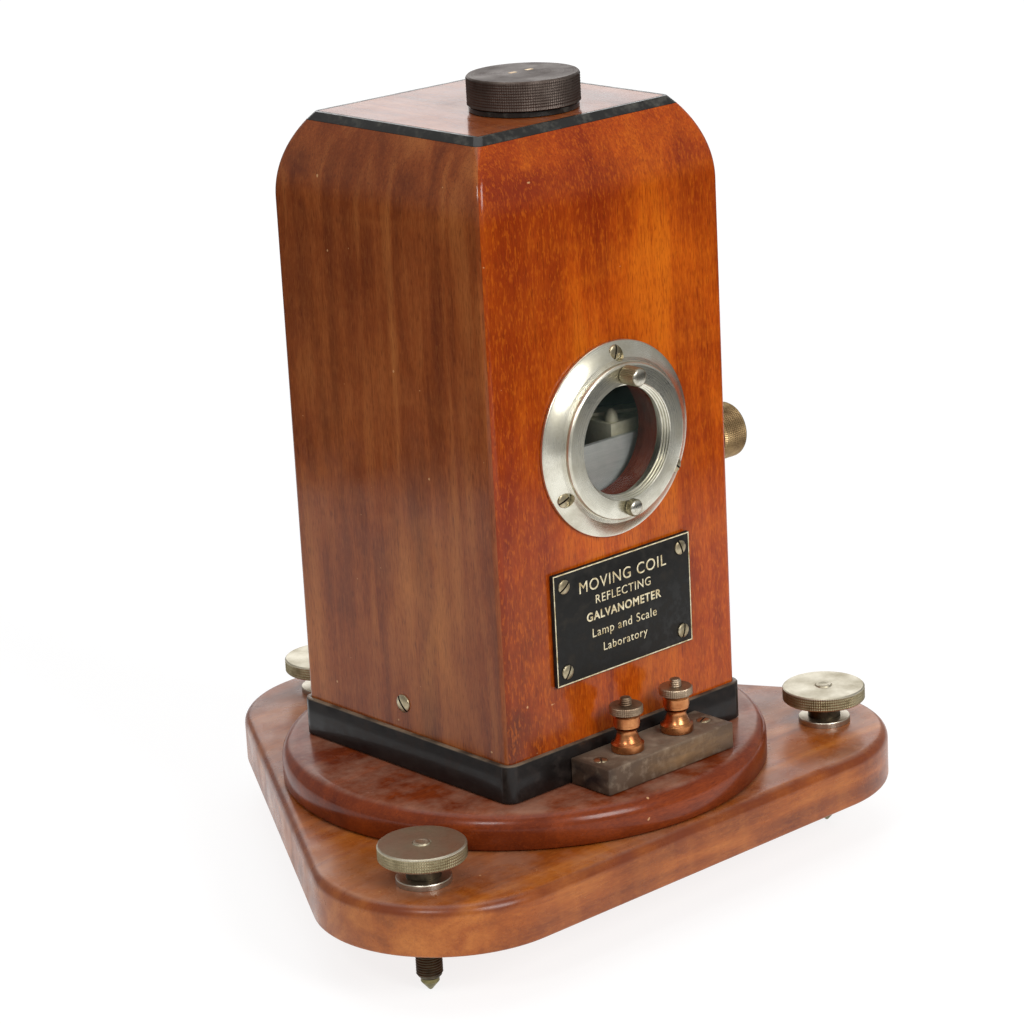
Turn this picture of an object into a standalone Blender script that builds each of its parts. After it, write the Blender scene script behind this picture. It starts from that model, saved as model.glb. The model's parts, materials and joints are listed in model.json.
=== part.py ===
"""Reflecting moving-coil galvanometer in a mahogany case on a three-screw base.

Metres, +Z up. The origin is on the bench, under the middle of the base's outline.
-Y is the window side, +X the side with the arrest knob. The pieces are made around the
case's upright middle line, and the last step moves them all to the origin.
"""
import math

import bpy
import bmesh
from mathutils import Matrix, Vector

MM = 0.001

# ---- clearances --------------------------------------------------------------
GAP = 0.3 * MM             # between pieces that are glued, screwed or seated together
RUNNING_GAP = 0.35 * MM    # between a turning shaft and its bore

# ---- how many flats a turned piece is made of, by its size --------------------
LARGE_ROUND = 48
MEDIUM_ROUND = 32
SMALL_ROUND = 20
TINY_ROUND = 12

# ---- wooden case -------------------------------------------------------------
CASE_WIDTH = 116.6 * MM
CASE_DEPTH = 113.2 * MM
CASE_HEIGHT = 239.4 * MM
CASE_WALL = 9.5 * MM
CASE_CORNER_RADIUS = 3.5 * MM
SHOULDER_RADIUS = 47.0 * MM
SHOULDER_RISE = 30.9 * MM
EDGING_HEIGHT = 2.7 * MM
EDGING_WIDTH = 1.5 * MM
TOP_BOARD_THICKNESS = 11.0 * MM
BOARD_CORNER_RADIUS = 0.5 * MM
PLINTH_HEIGHT = 14.5 * MM
PLINTH_THICKNESS = 1.6 * MM
INNER_BLOCK_THICKNESS = 32.0 * MM

# ---- base --------------------------------------------------------------------
FOOT_CLEARANCE = 22.5 * MM     # bench to the underside of the base
BASE_THICKNESS = 19.0 * MM
BASE_EDGE_ROUNDING = 4.0 * MM
DISC_THICKNESS = 13.5 * MM
DISC_MARGIN = 8.4 * MM         # disc beyond the plinth's corners
DISC_EDGE_ROUNDING = 6.0 * MM
SCREW_TO_DISC = 11.0 * MM      # levelling head's rim to the disc's edge
LOBE_BEYOND_SCREW = 23.1 * MM  # base edge beyond a levelling screw's centre
LOBE_RADIUS = 50.1 * MM

# ---- levelling screws --------------------------------------------------------
LEVEL_HEAD_RADIUS = 16.0 * MM
LEVEL_HEAD_THICKNESS = 5.5 * MM
LEVEL_THREAD_RADIUS = 4.85 * MM
LEVEL_HEAD_LIFT = 9.0 * MM     # underside of the head above the base
BUSH_FLANGE_RADIUS = 10.0 * MM
BUSH_FLANGE_THICKNESS = 2.2 * MM
BUSH_BOSS_HEIGHT = 3.8 * MM
BUSH_WALL = 1.9 * MM
FOOT_TIP_LENGTH = 5.0 * MM
FOOT_TIP_RADIUS = 3.4 * MM
FOOT_PIN_RADIUS = 1.8 * MM
FOOT_PIN_LENGTH = 6.0 * MM

# ---- window ------------------------------------------------------------------
WINDOW_HEIGHT = 123.6 * MM     # centre of the window above the disc
BEZEL_RADIUS = 36.0 * MM
BEZEL_BORE = 24.0 * MM
BEZEL_RIM = 1.6 * MM
BEZEL_THICKNESS = 4.0 * MM
BEZEL_SLOPE_TOP = 29.4 * MM    # radius where the sloping face meets the raised land
BEZEL_SCREW_CIRCLE = 32.3 * MM
CELL_RADIUS = 28.6 * MM
CELL_STAND_OUT = 7.6 * MM
CELL_OPENING = 20.0 * MM
CELL_STUD_CIRCLE = 24.3 * MM
CELL_STUD_RADIUS = 3.75 * MM
CELL_STUD_LENGTH = 7.0 * MM
LENS_SEAT_WIDTH = 1.5 * MM
LENS_THICKNESS = 2.0 * MM
WINDOW_HOLE_RADIUS = 22.0 * MM

# ---- wood screws -------------------------------------------------------------
SCREW_HEAD_RADIUS = 2.7 * MM
SCREW_SHANK_RADIUS = 1.3 * MM
SCREW_LENGTH = 7.0 * MM
CASE_SCREW_HEAD_RADIUS = 3.5 * MM
CASE_SCREW_LENGTH = 16.0 * MM
CASE_SCREW_HEIGHT = 25.0 * MM

# ---- name plate --------------------------------------------------------------
NAME_PLATE_WIDTH = 69.0 * MM
NAME_PLATE_HEIGHT = 42.5 * MM
NAME_PLATE_THICKNESS = 1.6 * MM
NAME_PLATE_BELOW_BEZEL = 7.2 * MM
NAME_PLATE_SCREW_INSET = 5.1 * MM

# ---- terminals ---------------------------------------------------------------
BLOCK_WIDTH = 64.0 * MM
BLOCK_DEPTH = 19.9 * MM
BLOCK_HEIGHT = 9.9 * MM
BLOCK_OFFSET = 1.8 * MM
BLOCK_SCREW_SPACING = 53.0 * MM
TERMINAL_SPACING = 25.4 * MM
POST_RADIUS = 6.1 * MM
POST_HEIGHT = 8.7 * MM
POST_STUD_RADIUS = 2.0 * MM
POST_STUD_SHOWING = 3.0 * MM
TERMINAL_COLLAR_RADIUS = 5.0 * MM
TERMINAL_COLLAR_HEIGHT = 5.0 * MM
TERMINAL_NUT_RADIUS = 6.25 * MM
TERMINAL_NUT_HEIGHT = 3.0 * MM

# ---- torsion head ------------------------------------------------------------
HEAD_TOP_RADIUS = 20.2 * MM
HEAD_BOTTOM_RADIUS = 20.8 * MM
HEAD_HEIGHT = 10.6 * MM
HEAD_SPINDLE_RADIUS = 3.0 * MM
HEAD_SPINDLE_LENGTH = 20.0 * MM
COLLAR_RADIUS = 19.9 * MM
COLLAR_THICKNESS = 1.7 * MM
COLLAR_SHANK_WALL = 2.3 * MM

# ---- movement ----------------------------------------------------------------
COIL_BEHIND_FRONT_BOARD = 29.1 * MM
COIL_WIDTH = 21.0 * MM
COIL_HEIGHT = 32.0 * MM
COIL_BAR = 2.4 * MM
COIL_THICKNESS = 3.2 * MM
COIL_STEM_RADIUS = 0.8 * MM
COIL_STEM_LENGTH = 36.0 * MM
AIR_GAP = 2.0 * MM
CORE_GAP = 0.9 * MM
CORE_PIN_RADIUS = 2.0 * MM
POLE_BELOW_WINDOW = 11.6 * MM
POLE_REACH = 18.0 * MM         # poles behind the coil's axis, up to the magnet
POLE_FORWARD = 23.0 * MM       # poles in front of the coil's axis, up to the front plate
POLE_INNER_X = 9.0 * MM
POLE_OUTER_X = 30.0 * MM
MAGNET_DEPTH = 18.0 * MM
FRONT_PLATE_HALF_WIDTH = 31.0 * MM
FRONT_PLATE_THICKNESS = 2.3 * MM
FRONT_PLATE_OVERLAP = 6.3 * MM     # plate above the poles
FRONT_PLATE_DROP = 14.0 * MM       # plate below the poles
BRACKET_PLATE = 4.0 * MM
BRACKET_HALF_WIDTH = 25.0 * MM
BRACKET_REAR_CLEARANCE = 5.0 * MM
ANCHOR_RADIUS = 3.0 * MM
LIGAMENT_LENGTH = 12.0 * MM
SUSPENSION_WIDTH = 0.5 * MM
SUSPENSION_THICKNESS = 0.3 * MM
MIRROR_RADIUS = 4.5 * MM
MIRROR_THICKNESS = 1.0 * MM
MIRROR_ABOVE_BUTTON = 1.0 * MM

# ---- arrest (coil clamp) -----------------------------------------------------
ARREST_BELOW_WINDOW = 19.0 * MM
ARREST_AHEAD_OF_COIL = 16.0 * MM
ARREST_SPINDLE_RADIUS = 3.0 * MM
ARREST_BUSH_RADIUS = 4.6 * MM
ARREST_BUSH_FLANGE_RADIUS = 7.0 * MM
ARREST_BUSH_FLANGE_THICKNESS = 1.8 * MM
ARREST_KNOB_RADIUS = 10.7 * MM
ARREST_KNOB_THICKNESS = 12.0 * MM
ARREST_KNOB_STAND_OFF = 11.5 * MM
CAM_RADIUS = 4.0 * MM
CAM_THROW = 1.0 * MM
CAM_WIDTH = 4.0 * MM
CAM_CLEARANCE = 0.5 * MM
CLAMP_BLOCK_INNER_X = 14.0 * MM
CLAMP_BLOCK_HEIGHT = 10.5 * MM
CLAMP_BLOCK_DEPTH = 14.0 * MM
CLAMP_DOME_RADIUS = 2.6 * MM
CLAMP_DOME_HEIGHT = 4.8 * MM
CLAMP_DOME_INSET = 0.8 * MM
FORK_THICKNESS = 1.2 * MM
FORK_WIDTH = 7.0 * MM
FORK_SLOT_HALF_WIDTH = 1.7 * MM
FORK_LEG_RADIUS = 1.5 * MM
ARREST_STOP_GAP = 2.3 * MM
BUTTON_THICKNESS = 0.8 * MM

# ---- heights and places that follow from the sizes above ---------------------
BASE_TOP = FOOT_CLEARANCE + BASE_THICKNESS
DISC_BOTTOM = BASE_TOP + GAP
DISC_TOP = DISC_BOTTOM + DISC_THICKNESS
CASE_BOTTOM = DISC_TOP + GAP
CASE_TOP = DISC_TOP + CASE_HEIGHT
EDGING_BOTTOM = CASE_TOP - EDGING_HEIGHT
SHOULDER_START = CASE_TOP - SHOULDER_RISE
HALF_WIDTH = CASE_WIDTH / 2
HALF_DEPTH = CASE_DEPTH / 2
PLINTH_GROWTH = GAP + PLINTH_THICKNESS
PLINTH_FRONT = -(HALF_DEPTH + PLINTH_GROWTH)
DISC_RADIUS = math.hypot(HALF_WIDTH + PLINTH_GROWTH, HALF_DEPTH + PLINTH_GROWTH) + DISC_MARGIN
LEVEL_CIRCLE = DISC_RADIUS + SCREW_TO_DISC + LEVEL_HEAD_RADIUS
LOBE_CIRCLE = LEVEL_CIRCLE + LOBE_BEYOND_SCREW - LOBE_RADIUS
BASE_MIDDLE_Y = LOBE_CIRCLE / 4      # the case stands ahead of the outline's middle
LEVEL_HEAD_BOTTOM = BASE_TOP + LEVEL_HEAD_LIFT
BUSH_BORE = LEVEL_THREAD_RADIUS + RUNNING_GAP
BUSH_OUTER = BUSH_BORE + BUSH_WALL
FRONT_FACE = -HALF_DEPTH
FRONT_INSIDE = FRONT_FACE + CASE_WALL
WINDOW_Z = DISC_TOP + WINDOW_HEIGHT
COIL_Y = FRONT_INSIDE + COIL_BEHIND_FRONT_BOARD
POLE_TOP = WINDOW_Z - POLE_BELOW_WINDOW
COIL_TOP = POLE_TOP
COIL_BOTTOM = COIL_TOP - COIL_HEIGHT
POLE_BOTTOM = COIL_BOTTOM
INNER_BLOCK_TOP = DISC_TOP + GAP + INNER_BLOCK_THICKNESS
NAME_PLATE_Z = WINDOW_Z - BEZEL_RADIUS - NAME_PLATE_BELOW_BEZEL - NAME_PLATE_HEIGHT / 2
BLOCK_BACK = PLINTH_FRONT - GAP
BLOCK_MIDDLE_Y = BLOCK_BACK - BLOCK_DEPTH / 2
BLOCK_BOTTOM = DISC_TOP + GAP
BLOCK_TOP = BLOCK_BOTTOM + BLOCK_HEIGHT
COLLAR_BOTTOM = CASE_TOP + GAP
HEAD_BOTTOM = COLLAR_BOTTOM + COLLAR_THICKNESS + GAP
HEAD_TOP = HEAD_BOTTOM + HEAD_HEIGHT
COLLAR_BORE = HEAD_SPINDLE_RADIUS + RUNNING_GAP
COLLAR_SHANK = COLLAR_BORE + COLLAR_SHANK_WALL
SPINDLE_END = HEAD_BOTTOM - HEAD_SPINDLE_LENGTH
STEM_TOP = COIL_TOP + COIL_STEM_LENGTH
ARREST_Y = COIL_Y - ARREST_AHEAD_OF_COIL
ARREST_Z = WINDOW_Z - ARREST_BELOW_WINDOW
ARREST_BUSH_BORE = ARREST_SPINDLE_RADIUS + RUNNING_GAP
CAM_START = POLE_OUTER_X + 2.0 * MM
LEG_X = CAM_START + CAM_WIDTH / 2
LEG_BOTTOM = ARREST_Z - CAM_THROW + CAM_RADIUS + CAM_CLEARANCE
CLAMP_BLOCK_BOTTOM = POLE_TOP + GAP
CLAMP_BLOCK_TOP = CLAMP_BLOCK_BOTTOM + CLAMP_BLOCK_HEIGHT
FORK_BOTTOM = CLAMP_BLOCK_TOP + 0.5 * MM
FORK_TOP = FORK_BOTTOM + FORK_THICKNESS
BUTTON_BOTTOM = FORK_TOP + ARREST_STOP_GAP
BUTTON_TOP = BUTTON_BOTTOM + BUTTON_THICKNESS
MIRROR_Z = BUTTON_TOP + MIRROR_ABOVE_BUTTON + MIRROR_RADIUS


# ---- materials ---------------------------------------------------------------
def material(name, colour, roughness, metallic=0.0):
    mat = bpy.data.materials.new(name)
    mat.use_nodes = True
    shader = mat.node_tree.nodes["Principled BSDF"]
    shader.inputs["Base Color"].default_value = (*colour, 1.0)
    shader.inputs["Roughness"].default_value = roughness
    shader.inputs["Metallic"].default_value = metallic
    mat.diffuse_color = (*colour, 1.0)
    return mat


for old in list(bpy.data.objects):
    bpy.data.objects.remove(old, do_unlink=True)

MAHOGANY = material("mahogany", (0.36, 0.09, 0.025), 0.25)
DARK_MAHOGANY = material("dark_mahogany", (0.24, 0.06, 0.02), 0.3)
BLACK_LACQUER = material("black_lacquer", (0.012, 0.011, 0.010), 0.25)
EBONITE = material("ebonite", (0.045, 0.038, 0.03), 0.5)
NICKEL = material("nickel", (0.60, 0.58, 0.52), 0.3, 1.0)
WORN_NICKEL = material("worn_nickel", (0.40, 0.37, 0.30), 0.4, 1.0)
BRASS = material("brass", (0.62, 0.42, 0.18), 0.35, 1.0)
COPPER = material("copper", (0.62, 0.30, 0.15), 0.35, 1.0)
BRONZE = material("bronze", (0.16, 0.13, 0.10), 0.45, 1.0)
BLACK_ENAMEL = material("black_enamel", (0.02, 0.02, 0.02), 0.35)
IRON = material("iron", (0.28, 0.28, 0.28), 0.5, 1.0)
ALUMINIUM = material("aluminium", (0.55, 0.56, 0.57), 0.35, 1.0)
GLASS = material("glass", (0.9, 0.95, 0.95), 0.03)
SILVERED = material("silvered", (0.9, 0.9, 0.9), 0.05, 1.0)


# ---- making solids -----------------------------------------------------------
def add_object(name, bm, mat, location=(0.0, 0.0, 0.0)):
    """Make a closed bmesh an object, with its faces outward and its round faces smooth."""
    bmesh.ops.remove_doubles(bm, verts=bm.verts, dist=1e-7)
    bmesh.ops.recalc_face_normals(bm, faces=bm.faces)
    mesh = bpy.data.meshes.new(name)
    bm.to_mesh(mesh)
    bm.free()
    mesh.materials.append(mat)
    mesh.shade_smooth()
    mesh.set_sharp_from_angle(angle=math.radians(35))
    obj = bpy.data.objects.new(name, mesh)
    obj.location = location
    bpy.context.scene.collection.objects.link(obj)
    return obj


def as_guide(obj):
    obj.hide_render = True
    obj.display_type = "WIRE"
    return obj


def spun(profile, segments, closed=False):
    """Turn a profile of (radius, height) points about Z."""
    bm = bmesh.new()
    verts = [bm.verts.new((radius, 0.0, height)) for radius, height in profile]
    edges = [bm.edges.new(pair) for pair in zip(verts, verts[1:])]
    if closed:
        edges.append(bm.edges.new((verts[-1], verts[0])))
    bmesh.ops.spin(
        bm, geom=verts + edges, cent=(0, 0, 0), axis=(0, 0, 1),
        angle=math.tau, steps=segments, use_merge=True,
    )
    bmesh.ops.remove_doubles(bm, verts=bm.verts, dist=1e-7)
    return bm


def turned(name, profile, mat, location, segments=MEDIUM_ROUND, closed=False, facing="up"):
    """A turned piece. Its height axis points up, to the front (-Y), right (+X) or left (-X)."""
    bm = spun(profile, segments, closed)
    turn = {
        "up": Matrix.Identity(3),
        "front": Matrix.Rotation(math.radians(90), 3, "X"),
        "right": Matrix.Rotation(math.radians(90), 3, "Y"),
        "left": Matrix.Rotation(math.radians(-90), 3, "Y"),
    }[facing]
    bmesh.ops.rotate(bm, verts=bm.verts, cent=(0, 0, 0), matrix=turn)
    return add_object(name, bm, mat, location)


def box(name, low, high, mat, bevel=0.0, location=(0.0, 0.0, 0.0)):
    """A block between two corners, given relative to its location."""
    low = Vector(low)
    high = Vector(high)
    bm = bmesh.new()
    bmesh.ops.create_cube(bm, size=1.0)
    bmesh.ops.scale(bm, verts=bm.verts, vec=high - low)
    bmesh.ops.translate(bm, verts=bm.verts, vec=(low + high) / 2)
    if bevel:
        bmesh.ops.bevel(
            bm, geom=list(bm.edges), offset=bevel, segments=2, profile=0.5,
            affect="EDGES", clamp_overlap=True, material=-1,
        )
    return add_object(name, bm, mat, location)


def bridge_stack(bm, loops):
    for lower, upper in zip(loops, loops[1:]):
        for i in range(len(lower)):
            j = (i + 1) % len(lower)
            bm.faces.new((lower[i], lower[j], upper[j], upper[i]))


def stacked(name, loops, mat, capped=True):
    """A solid through point loops of equal length: capped at its ends, or closed into a ring."""
    bm = bmesh.new()
    rings = [[bm.verts.new(point) for point in loop] for loop in loops]
    bridge_stack(bm, rings if capped else rings + rings[:1])
    if capped:
        bm.faces.new(rings[0])
        bm.faces.new(rings[-1])
    return add_object(name, bm, mat)


def extruded(name, outline, low, high, mat):
    """A flat outline of (x, y) points pushed up from one height to another."""
    loops = [[(x, y, z) for x, y in outline] for z in (low, high)]
    return stacked(name, loops, mat)


def arc(centre, radius, start, end, steps):
    angles = [math.radians(start + (end - start) * i / steps) for i in range(steps + 1)]
    return [(centre[0] + radius * math.cos(a), centre[1] + radius * math.sin(a)) for a in angles]


def boolean(target, tool, operation="DIFFERENCE"):
    as_guide(tool)
    modifier = target.modifiers.new(operation.title(), "BOOLEAN")
    modifier.operation = operation
    modifier.object = tool
    modifier.solver = "EXACT"
    return target


def drill(target, centre, radius, start, end, facing="up", segments=TINY_ROUND):
    """Bore a round hole in a piece, from one distance to another along the way it faces."""
    profile = [(0, start), (radius, start), (radius, end), (0, end)]
    cutter = turned(target.name + "_cutter", profile, BLACK_ENAMEL, centre, segments, facing=facing)
    return boolean(target, cutter)


def rounded_top(radius, height, rounding, steps=3):
    """Profile points of an upper edge that is rounded, from its side to its top face."""
    return arc((radius - rounding, height - rounding), rounding, 0, 90, steps)


# ---- base --------------------------------------------------------------------
def lobed_outline(inset, z, steps=10):
    points = []
    for direction in (210, 330, 90):
        angle = math.radians(direction)
        centre = (LOBE_CIRCLE * math.cos(angle), LOBE_CIRCLE * math.sin(angle))
        points += arc(centre, LOBE_RADIUS - inset, direction - 60, direction + 60, steps)
    return [(x, y, z) for x, y in points]


def level_places():
    for label, direction in (("left", 210), ("right", 330), ("back", 90)):
        angle = math.radians(direction)
        yield label, LEVEL_CIRCLE * math.cos(angle), LEVEL_CIRCLE * math.sin(angle)


def make_base():
    round_in = BASE_EDGE_ROUNDING
    edge = arc((0, 0), round_in, 0, 90, 3)
    loops = [lobed_outline(1.0 * MM, FOOT_CLEARANCE), lobed_outline(0.0, FOOT_CLEARANCE + 1.0 * MM)]
    loops += [lobed_outline(round_in - c, BASE_TOP - round_in + s) for c, s in edge]
    board = stacked("base_board", loops, MAHOGANY)
    for _, x, y in level_places():
        hole = BUSH_OUTER + GAP
        drill(board, (x, y, 0), hole, FOOT_CLEARANCE - 1 * MM, BASE_TOP + 1 * MM, segments=SMALL_ROUND)
    profile = [(0, DISC_BOTTOM), (DISC_RADIUS - 1 * MM, DISC_BOTTOM), (DISC_RADIUS, DISC_BOTTOM + 1 * MM)]
    profile += rounded_top(DISC_RADIUS, DISC_TOP, DISC_EDGE_ROUNDING, 3) + [(0, DISC_TOP)]
    disc = turned("sub_base_disc", profile, DARK_MAHOGANY, (0, 0, 0), LARGE_ROUND)
    room = CASE_WALL + GAP
    inner = box(
        "inner_block",
        (-HALF_WIDTH + room, -HALF_DEPTH + room, CASE_BOTTOM),
        (HALF_WIDTH - room, HALF_DEPTH - room, INNER_BLOCK_TOP), DARK_MAHOGANY,
    )
    return disc, inner


def make_levelling_screw(label, x, y):
    flange_top = BASE_TOP + BUSH_FLANGE_THICKNESS
    bush_top = flange_top + BUSH_BOSS_HEIGHT
    boss = BUSH_OUTER - 0.3 * MM
    bush = [
        (BUSH_BORE, FOOT_CLEARANCE), (BUSH_OUTER, FOOT_CLEARANCE), (BUSH_OUTER, BASE_TOP + GAP),
        (BUSH_FLANGE_RADIUS, BASE_TOP + GAP), (BUSH_FLANGE_RADIUS, flange_top - 0.4 * MM),
        (BUSH_FLANGE_RADIUS - 0.8 * MM, flange_top), (boss, flange_top),
        (boss, bush_top), (BUSH_BORE, bush_top),
    ]
    turned("levelling_bush_" + label, bush, NICKEL, (x, y, 0), SMALL_ROUND, closed=True)
    tip = FOOT_TIP_LENGTH
    pin_top = tip + FOOT_PIN_LENGTH
    foot = [
        (0, 0), (0.7 * MM, 0), (FOOT_TIP_RADIUS, tip - 1.6 * MM), (FOOT_TIP_RADIUS, tip),
        (FOOT_PIN_RADIUS, tip), (FOOT_PIN_RADIUS, pin_top), (0, pin_top),
    ]
    turned("levelling_foot_" + label, foot, BRASS, (x, y, 0), TINY_ROUND)
    socket = FOOT_PIN_RADIUS + RUNNING_GAP
    start = tip + GAP
    roof = pin_top + GAP
    head_top = LEVEL_HEAD_BOTTOM + LEVEL_HEAD_THICKNESS
    screw = [
        (0, roof), (socket, roof), (socket, start), (LEVEL_THREAD_RADIUS - 0.6 * MM, start),
        (LEVEL_THREAD_RADIUS, start + 0.6 * MM), (LEVEL_THREAD_RADIUS, LEVEL_HEAD_BOTTOM),
        (LEVEL_HEAD_RADIUS - 0.5 * MM, LEVEL_HEAD_BOTTOM),
        (LEVEL_HEAD_RADIUS, LEVEL_HEAD_BOTTOM + 0.5 * MM),
        (LEVEL_HEAD_RADIUS, head_top - 0.6 * MM), (LEVEL_HEAD_RADIUS - 0.6 * MM, head_top), (0, head_top),
    ]
    turned("levelling_screw_" + label, screw, WORN_NICKEL, (x, y, 0), MEDIUM_ROUND)


# ---- case --------------------------------------------------------------------
def shoulder_inset(z):
    """How far the case's faces have curved inward at a height."""
    rise = max(0.0, z - SHOULDER_START)
    return SHOULDER_RADIUS - math.sqrt(SHOULDER_RADIUS ** 2 - rise ** 2)


def rounded_rectangle(half_x, half_y, radius, z, steps=2):
    corners = ((1, 1, 0), (-1, 1, 90), (-1, -1, 180), (1, -1, 270))
    points = []
    for sx, sy, start in corners:
        centre = (sx * (half_x - radius), sy * (half_y - radius))
        points += arc(centre, radius, start, start + 90, steps)
    return [(x, y, z) for x, y in points]


def board_section(half_along, half_out, inset, turn, z):
    """One mitred board's level section: its outer side with half of each round corner."""
    along = half_along - inset
    out = half_out - inset
    radius = CASE_CORNER_RADIUS
    mitre = GAP / math.sqrt(2)
    first = arc((-along + radius, -out + radius), radius, 225, 270, 2)
    last = arc((along - radius, -out + radius), radius, 270, 315, 2)
    first[0] = (first[0][0] + mitre, first[0][1])
    last[-1] = (last[-1][0] - mitre, last[-1][1])
    inner_y = -out + CASE_WALL
    inner_x = along - CASE_WALL - mitre
    points = first + last + [(inner_x, inner_y), (-inner_x, inner_y)]
    spin = Matrix.Rotation(turn, 2)
    return [(*(spin @ Vector(point)), z) for point in points]


def make_case():
    top = EDGING_BOTTOM - GAP
    levels = [CASE_BOTTOM] + [SHOULDER_START + (top - SHOULDER_START) * i / 5 for i in range(6)]
    sides = {
        "front": (HALF_WIDTH, HALF_DEPTH, 0),
        "right": (HALF_DEPTH, HALF_WIDTH, 90),
        "back": (HALF_WIDTH, HALF_DEPTH, 180),
        "left": (HALF_DEPTH, HALF_WIDTH, 270),
    }
    boards = {}
    for side, (along, out, degrees) in sides.items():
        turn = math.radians(degrees)
        loops = [board_section(along, out, shoulder_inset(z), turn, z) for z in levels]
        boards[side] = stacked("case_" + side, loops, MAHOGANY)
    hole_at = (0, FRONT_FACE, WINDOW_Z)
    drill(boards["front"], hole_at, WINDOW_HOLE_RADIUS, -CASE_WALL - 1 * MM, 1 * MM, "front", MEDIUM_ROUND)
    bush_at = (HALF_WIDTH, ARREST_Y, ARREST_Z)
    bush_hole = ARREST_BUSH_RADIUS + GAP
    drill(boards["right"], bush_at, bush_hole, -CASE_WALL - 1 * MM, 1 * MM, "right", SMALL_ROUND)
    make_case_top()
    make_trim()
    return boards


def make_case_top():
    radius = BOARD_CORNER_RADIUS
    board_inset = shoulder_inset(EDGING_BOTTOM - GAP) + CASE_WALL + GAP
    flange_inset = shoulder_inset(CASE_TOP) + EDGING_WIDTH + GAP
    plug = (HALF_WIDTH - board_inset, HALF_DEPTH - board_inset, radius)
    flange = (HALF_WIDTH - flange_inset, HALF_DEPTH - flange_inset, radius)
    loops = [
        rounded_rectangle(*plug, CASE_TOP - TOP_BOARD_THICKNESS),
        rounded_rectangle(*plug, EDGING_BOTTOM),
        rounded_rectangle(*flange, EDGING_BOTTOM),
        rounded_rectangle(*flange, CASE_TOP),
    ]
    board = stacked("case_top", loops, MAHOGANY)
    depth = TOP_BOARD_THICKNESS + 1 * MM
    drill(board, (0, COIL_Y, CASE_TOP), COLLAR_SHANK + GAP, -depth, 1 * MM, segments=SMALL_ROUND)


def make_trim():
    corner = CASE_CORNER_RADIUS
    low = shoulder_inset(EDGING_BOTTOM)
    high = shoulder_inset(CASE_TOP)
    inner = high + EDGING_WIDTH
    sharp = BOARD_CORNER_RADIUS
    rings = [
        (low, corner, EDGING_BOTTOM), (high, corner, CASE_TOP),
        (inner, sharp, CASE_TOP), (inner, sharp, EDGING_BOTTOM),
    ]
    loops = [rounded_rectangle(HALF_WIDTH - i, HALF_DEPTH - i, r, z) for i, r, z in rings]
    stacked("top_edging", loops, BLACK_LACQUER, capped=False)
    grown = PLINTH_GROWTH
    ledge = 0.5 * MM
    top = CASE_BOTTOM + PLINTH_HEIGHT
    rings = [(grown, CASE_BOTTOM), (grown, top - ledge), (grown - ledge, top), (GAP, top), (GAP, CASE_BOTTOM)]
    loops = [rounded_rectangle(HALF_WIDTH + g, HALF_DEPTH + g, corner + g, z) for g, z in rings]
    stacked("plinth_moulding", loops, BLACK_LACQUER, capped=False)


# ---- screws ------------------------------------------------------------------
def make_screw(name, place, facing, head_radius, length, hosts, mat=WORN_NICKEL, sink=0.0):
    """A slotted wood screw with its holes. Its place is where the head seats on the surface."""
    shank = SCREW_SHANK_RADIUS
    seat = GAP - sink
    rim = seat + 0.5 * MM
    crown = seat + 0.3 * head_radius
    brow = (rim + crown) / 2 + 0.1 * MM
    profile = [
        (0, -length), (0.3 * MM, -length), (shank, -length + 2 * MM), (shank, seat),
        (head_radius, seat), (head_radius, rim), (0.75 * head_radius, brow), (0, crown),
    ]
    screw = turned(name, profile, mat, place, TINY_ROUND, facing=facing)
    for host, depth in hosts:
        drill(host, place, shank + GAP, -depth, 3 * MM, facing, TINY_ROUND)
    slot = 0.22 * head_radius
    deep = seat + 0.12 * head_radius
    length_axis = 1.2 * head_radius
    corners = {
        "up": ((-length_axis, -slot, deep), (length_axis, slot, 2 * crown)),
        "front": ((-slot, -2 * crown, -length_axis), (slot, -deep, length_axis)),
        "left": ((-2 * crown, -slot, -length_axis), (-deep, slot, length_axis)),
        "right": ((deep, -slot, -length_axis), (2 * crown, slot, length_axis)),
    }[facing]
    boolean(screw, box(name + "_slot", *corners, BLACK_ENAMEL, location=place))
    return screw


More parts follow.
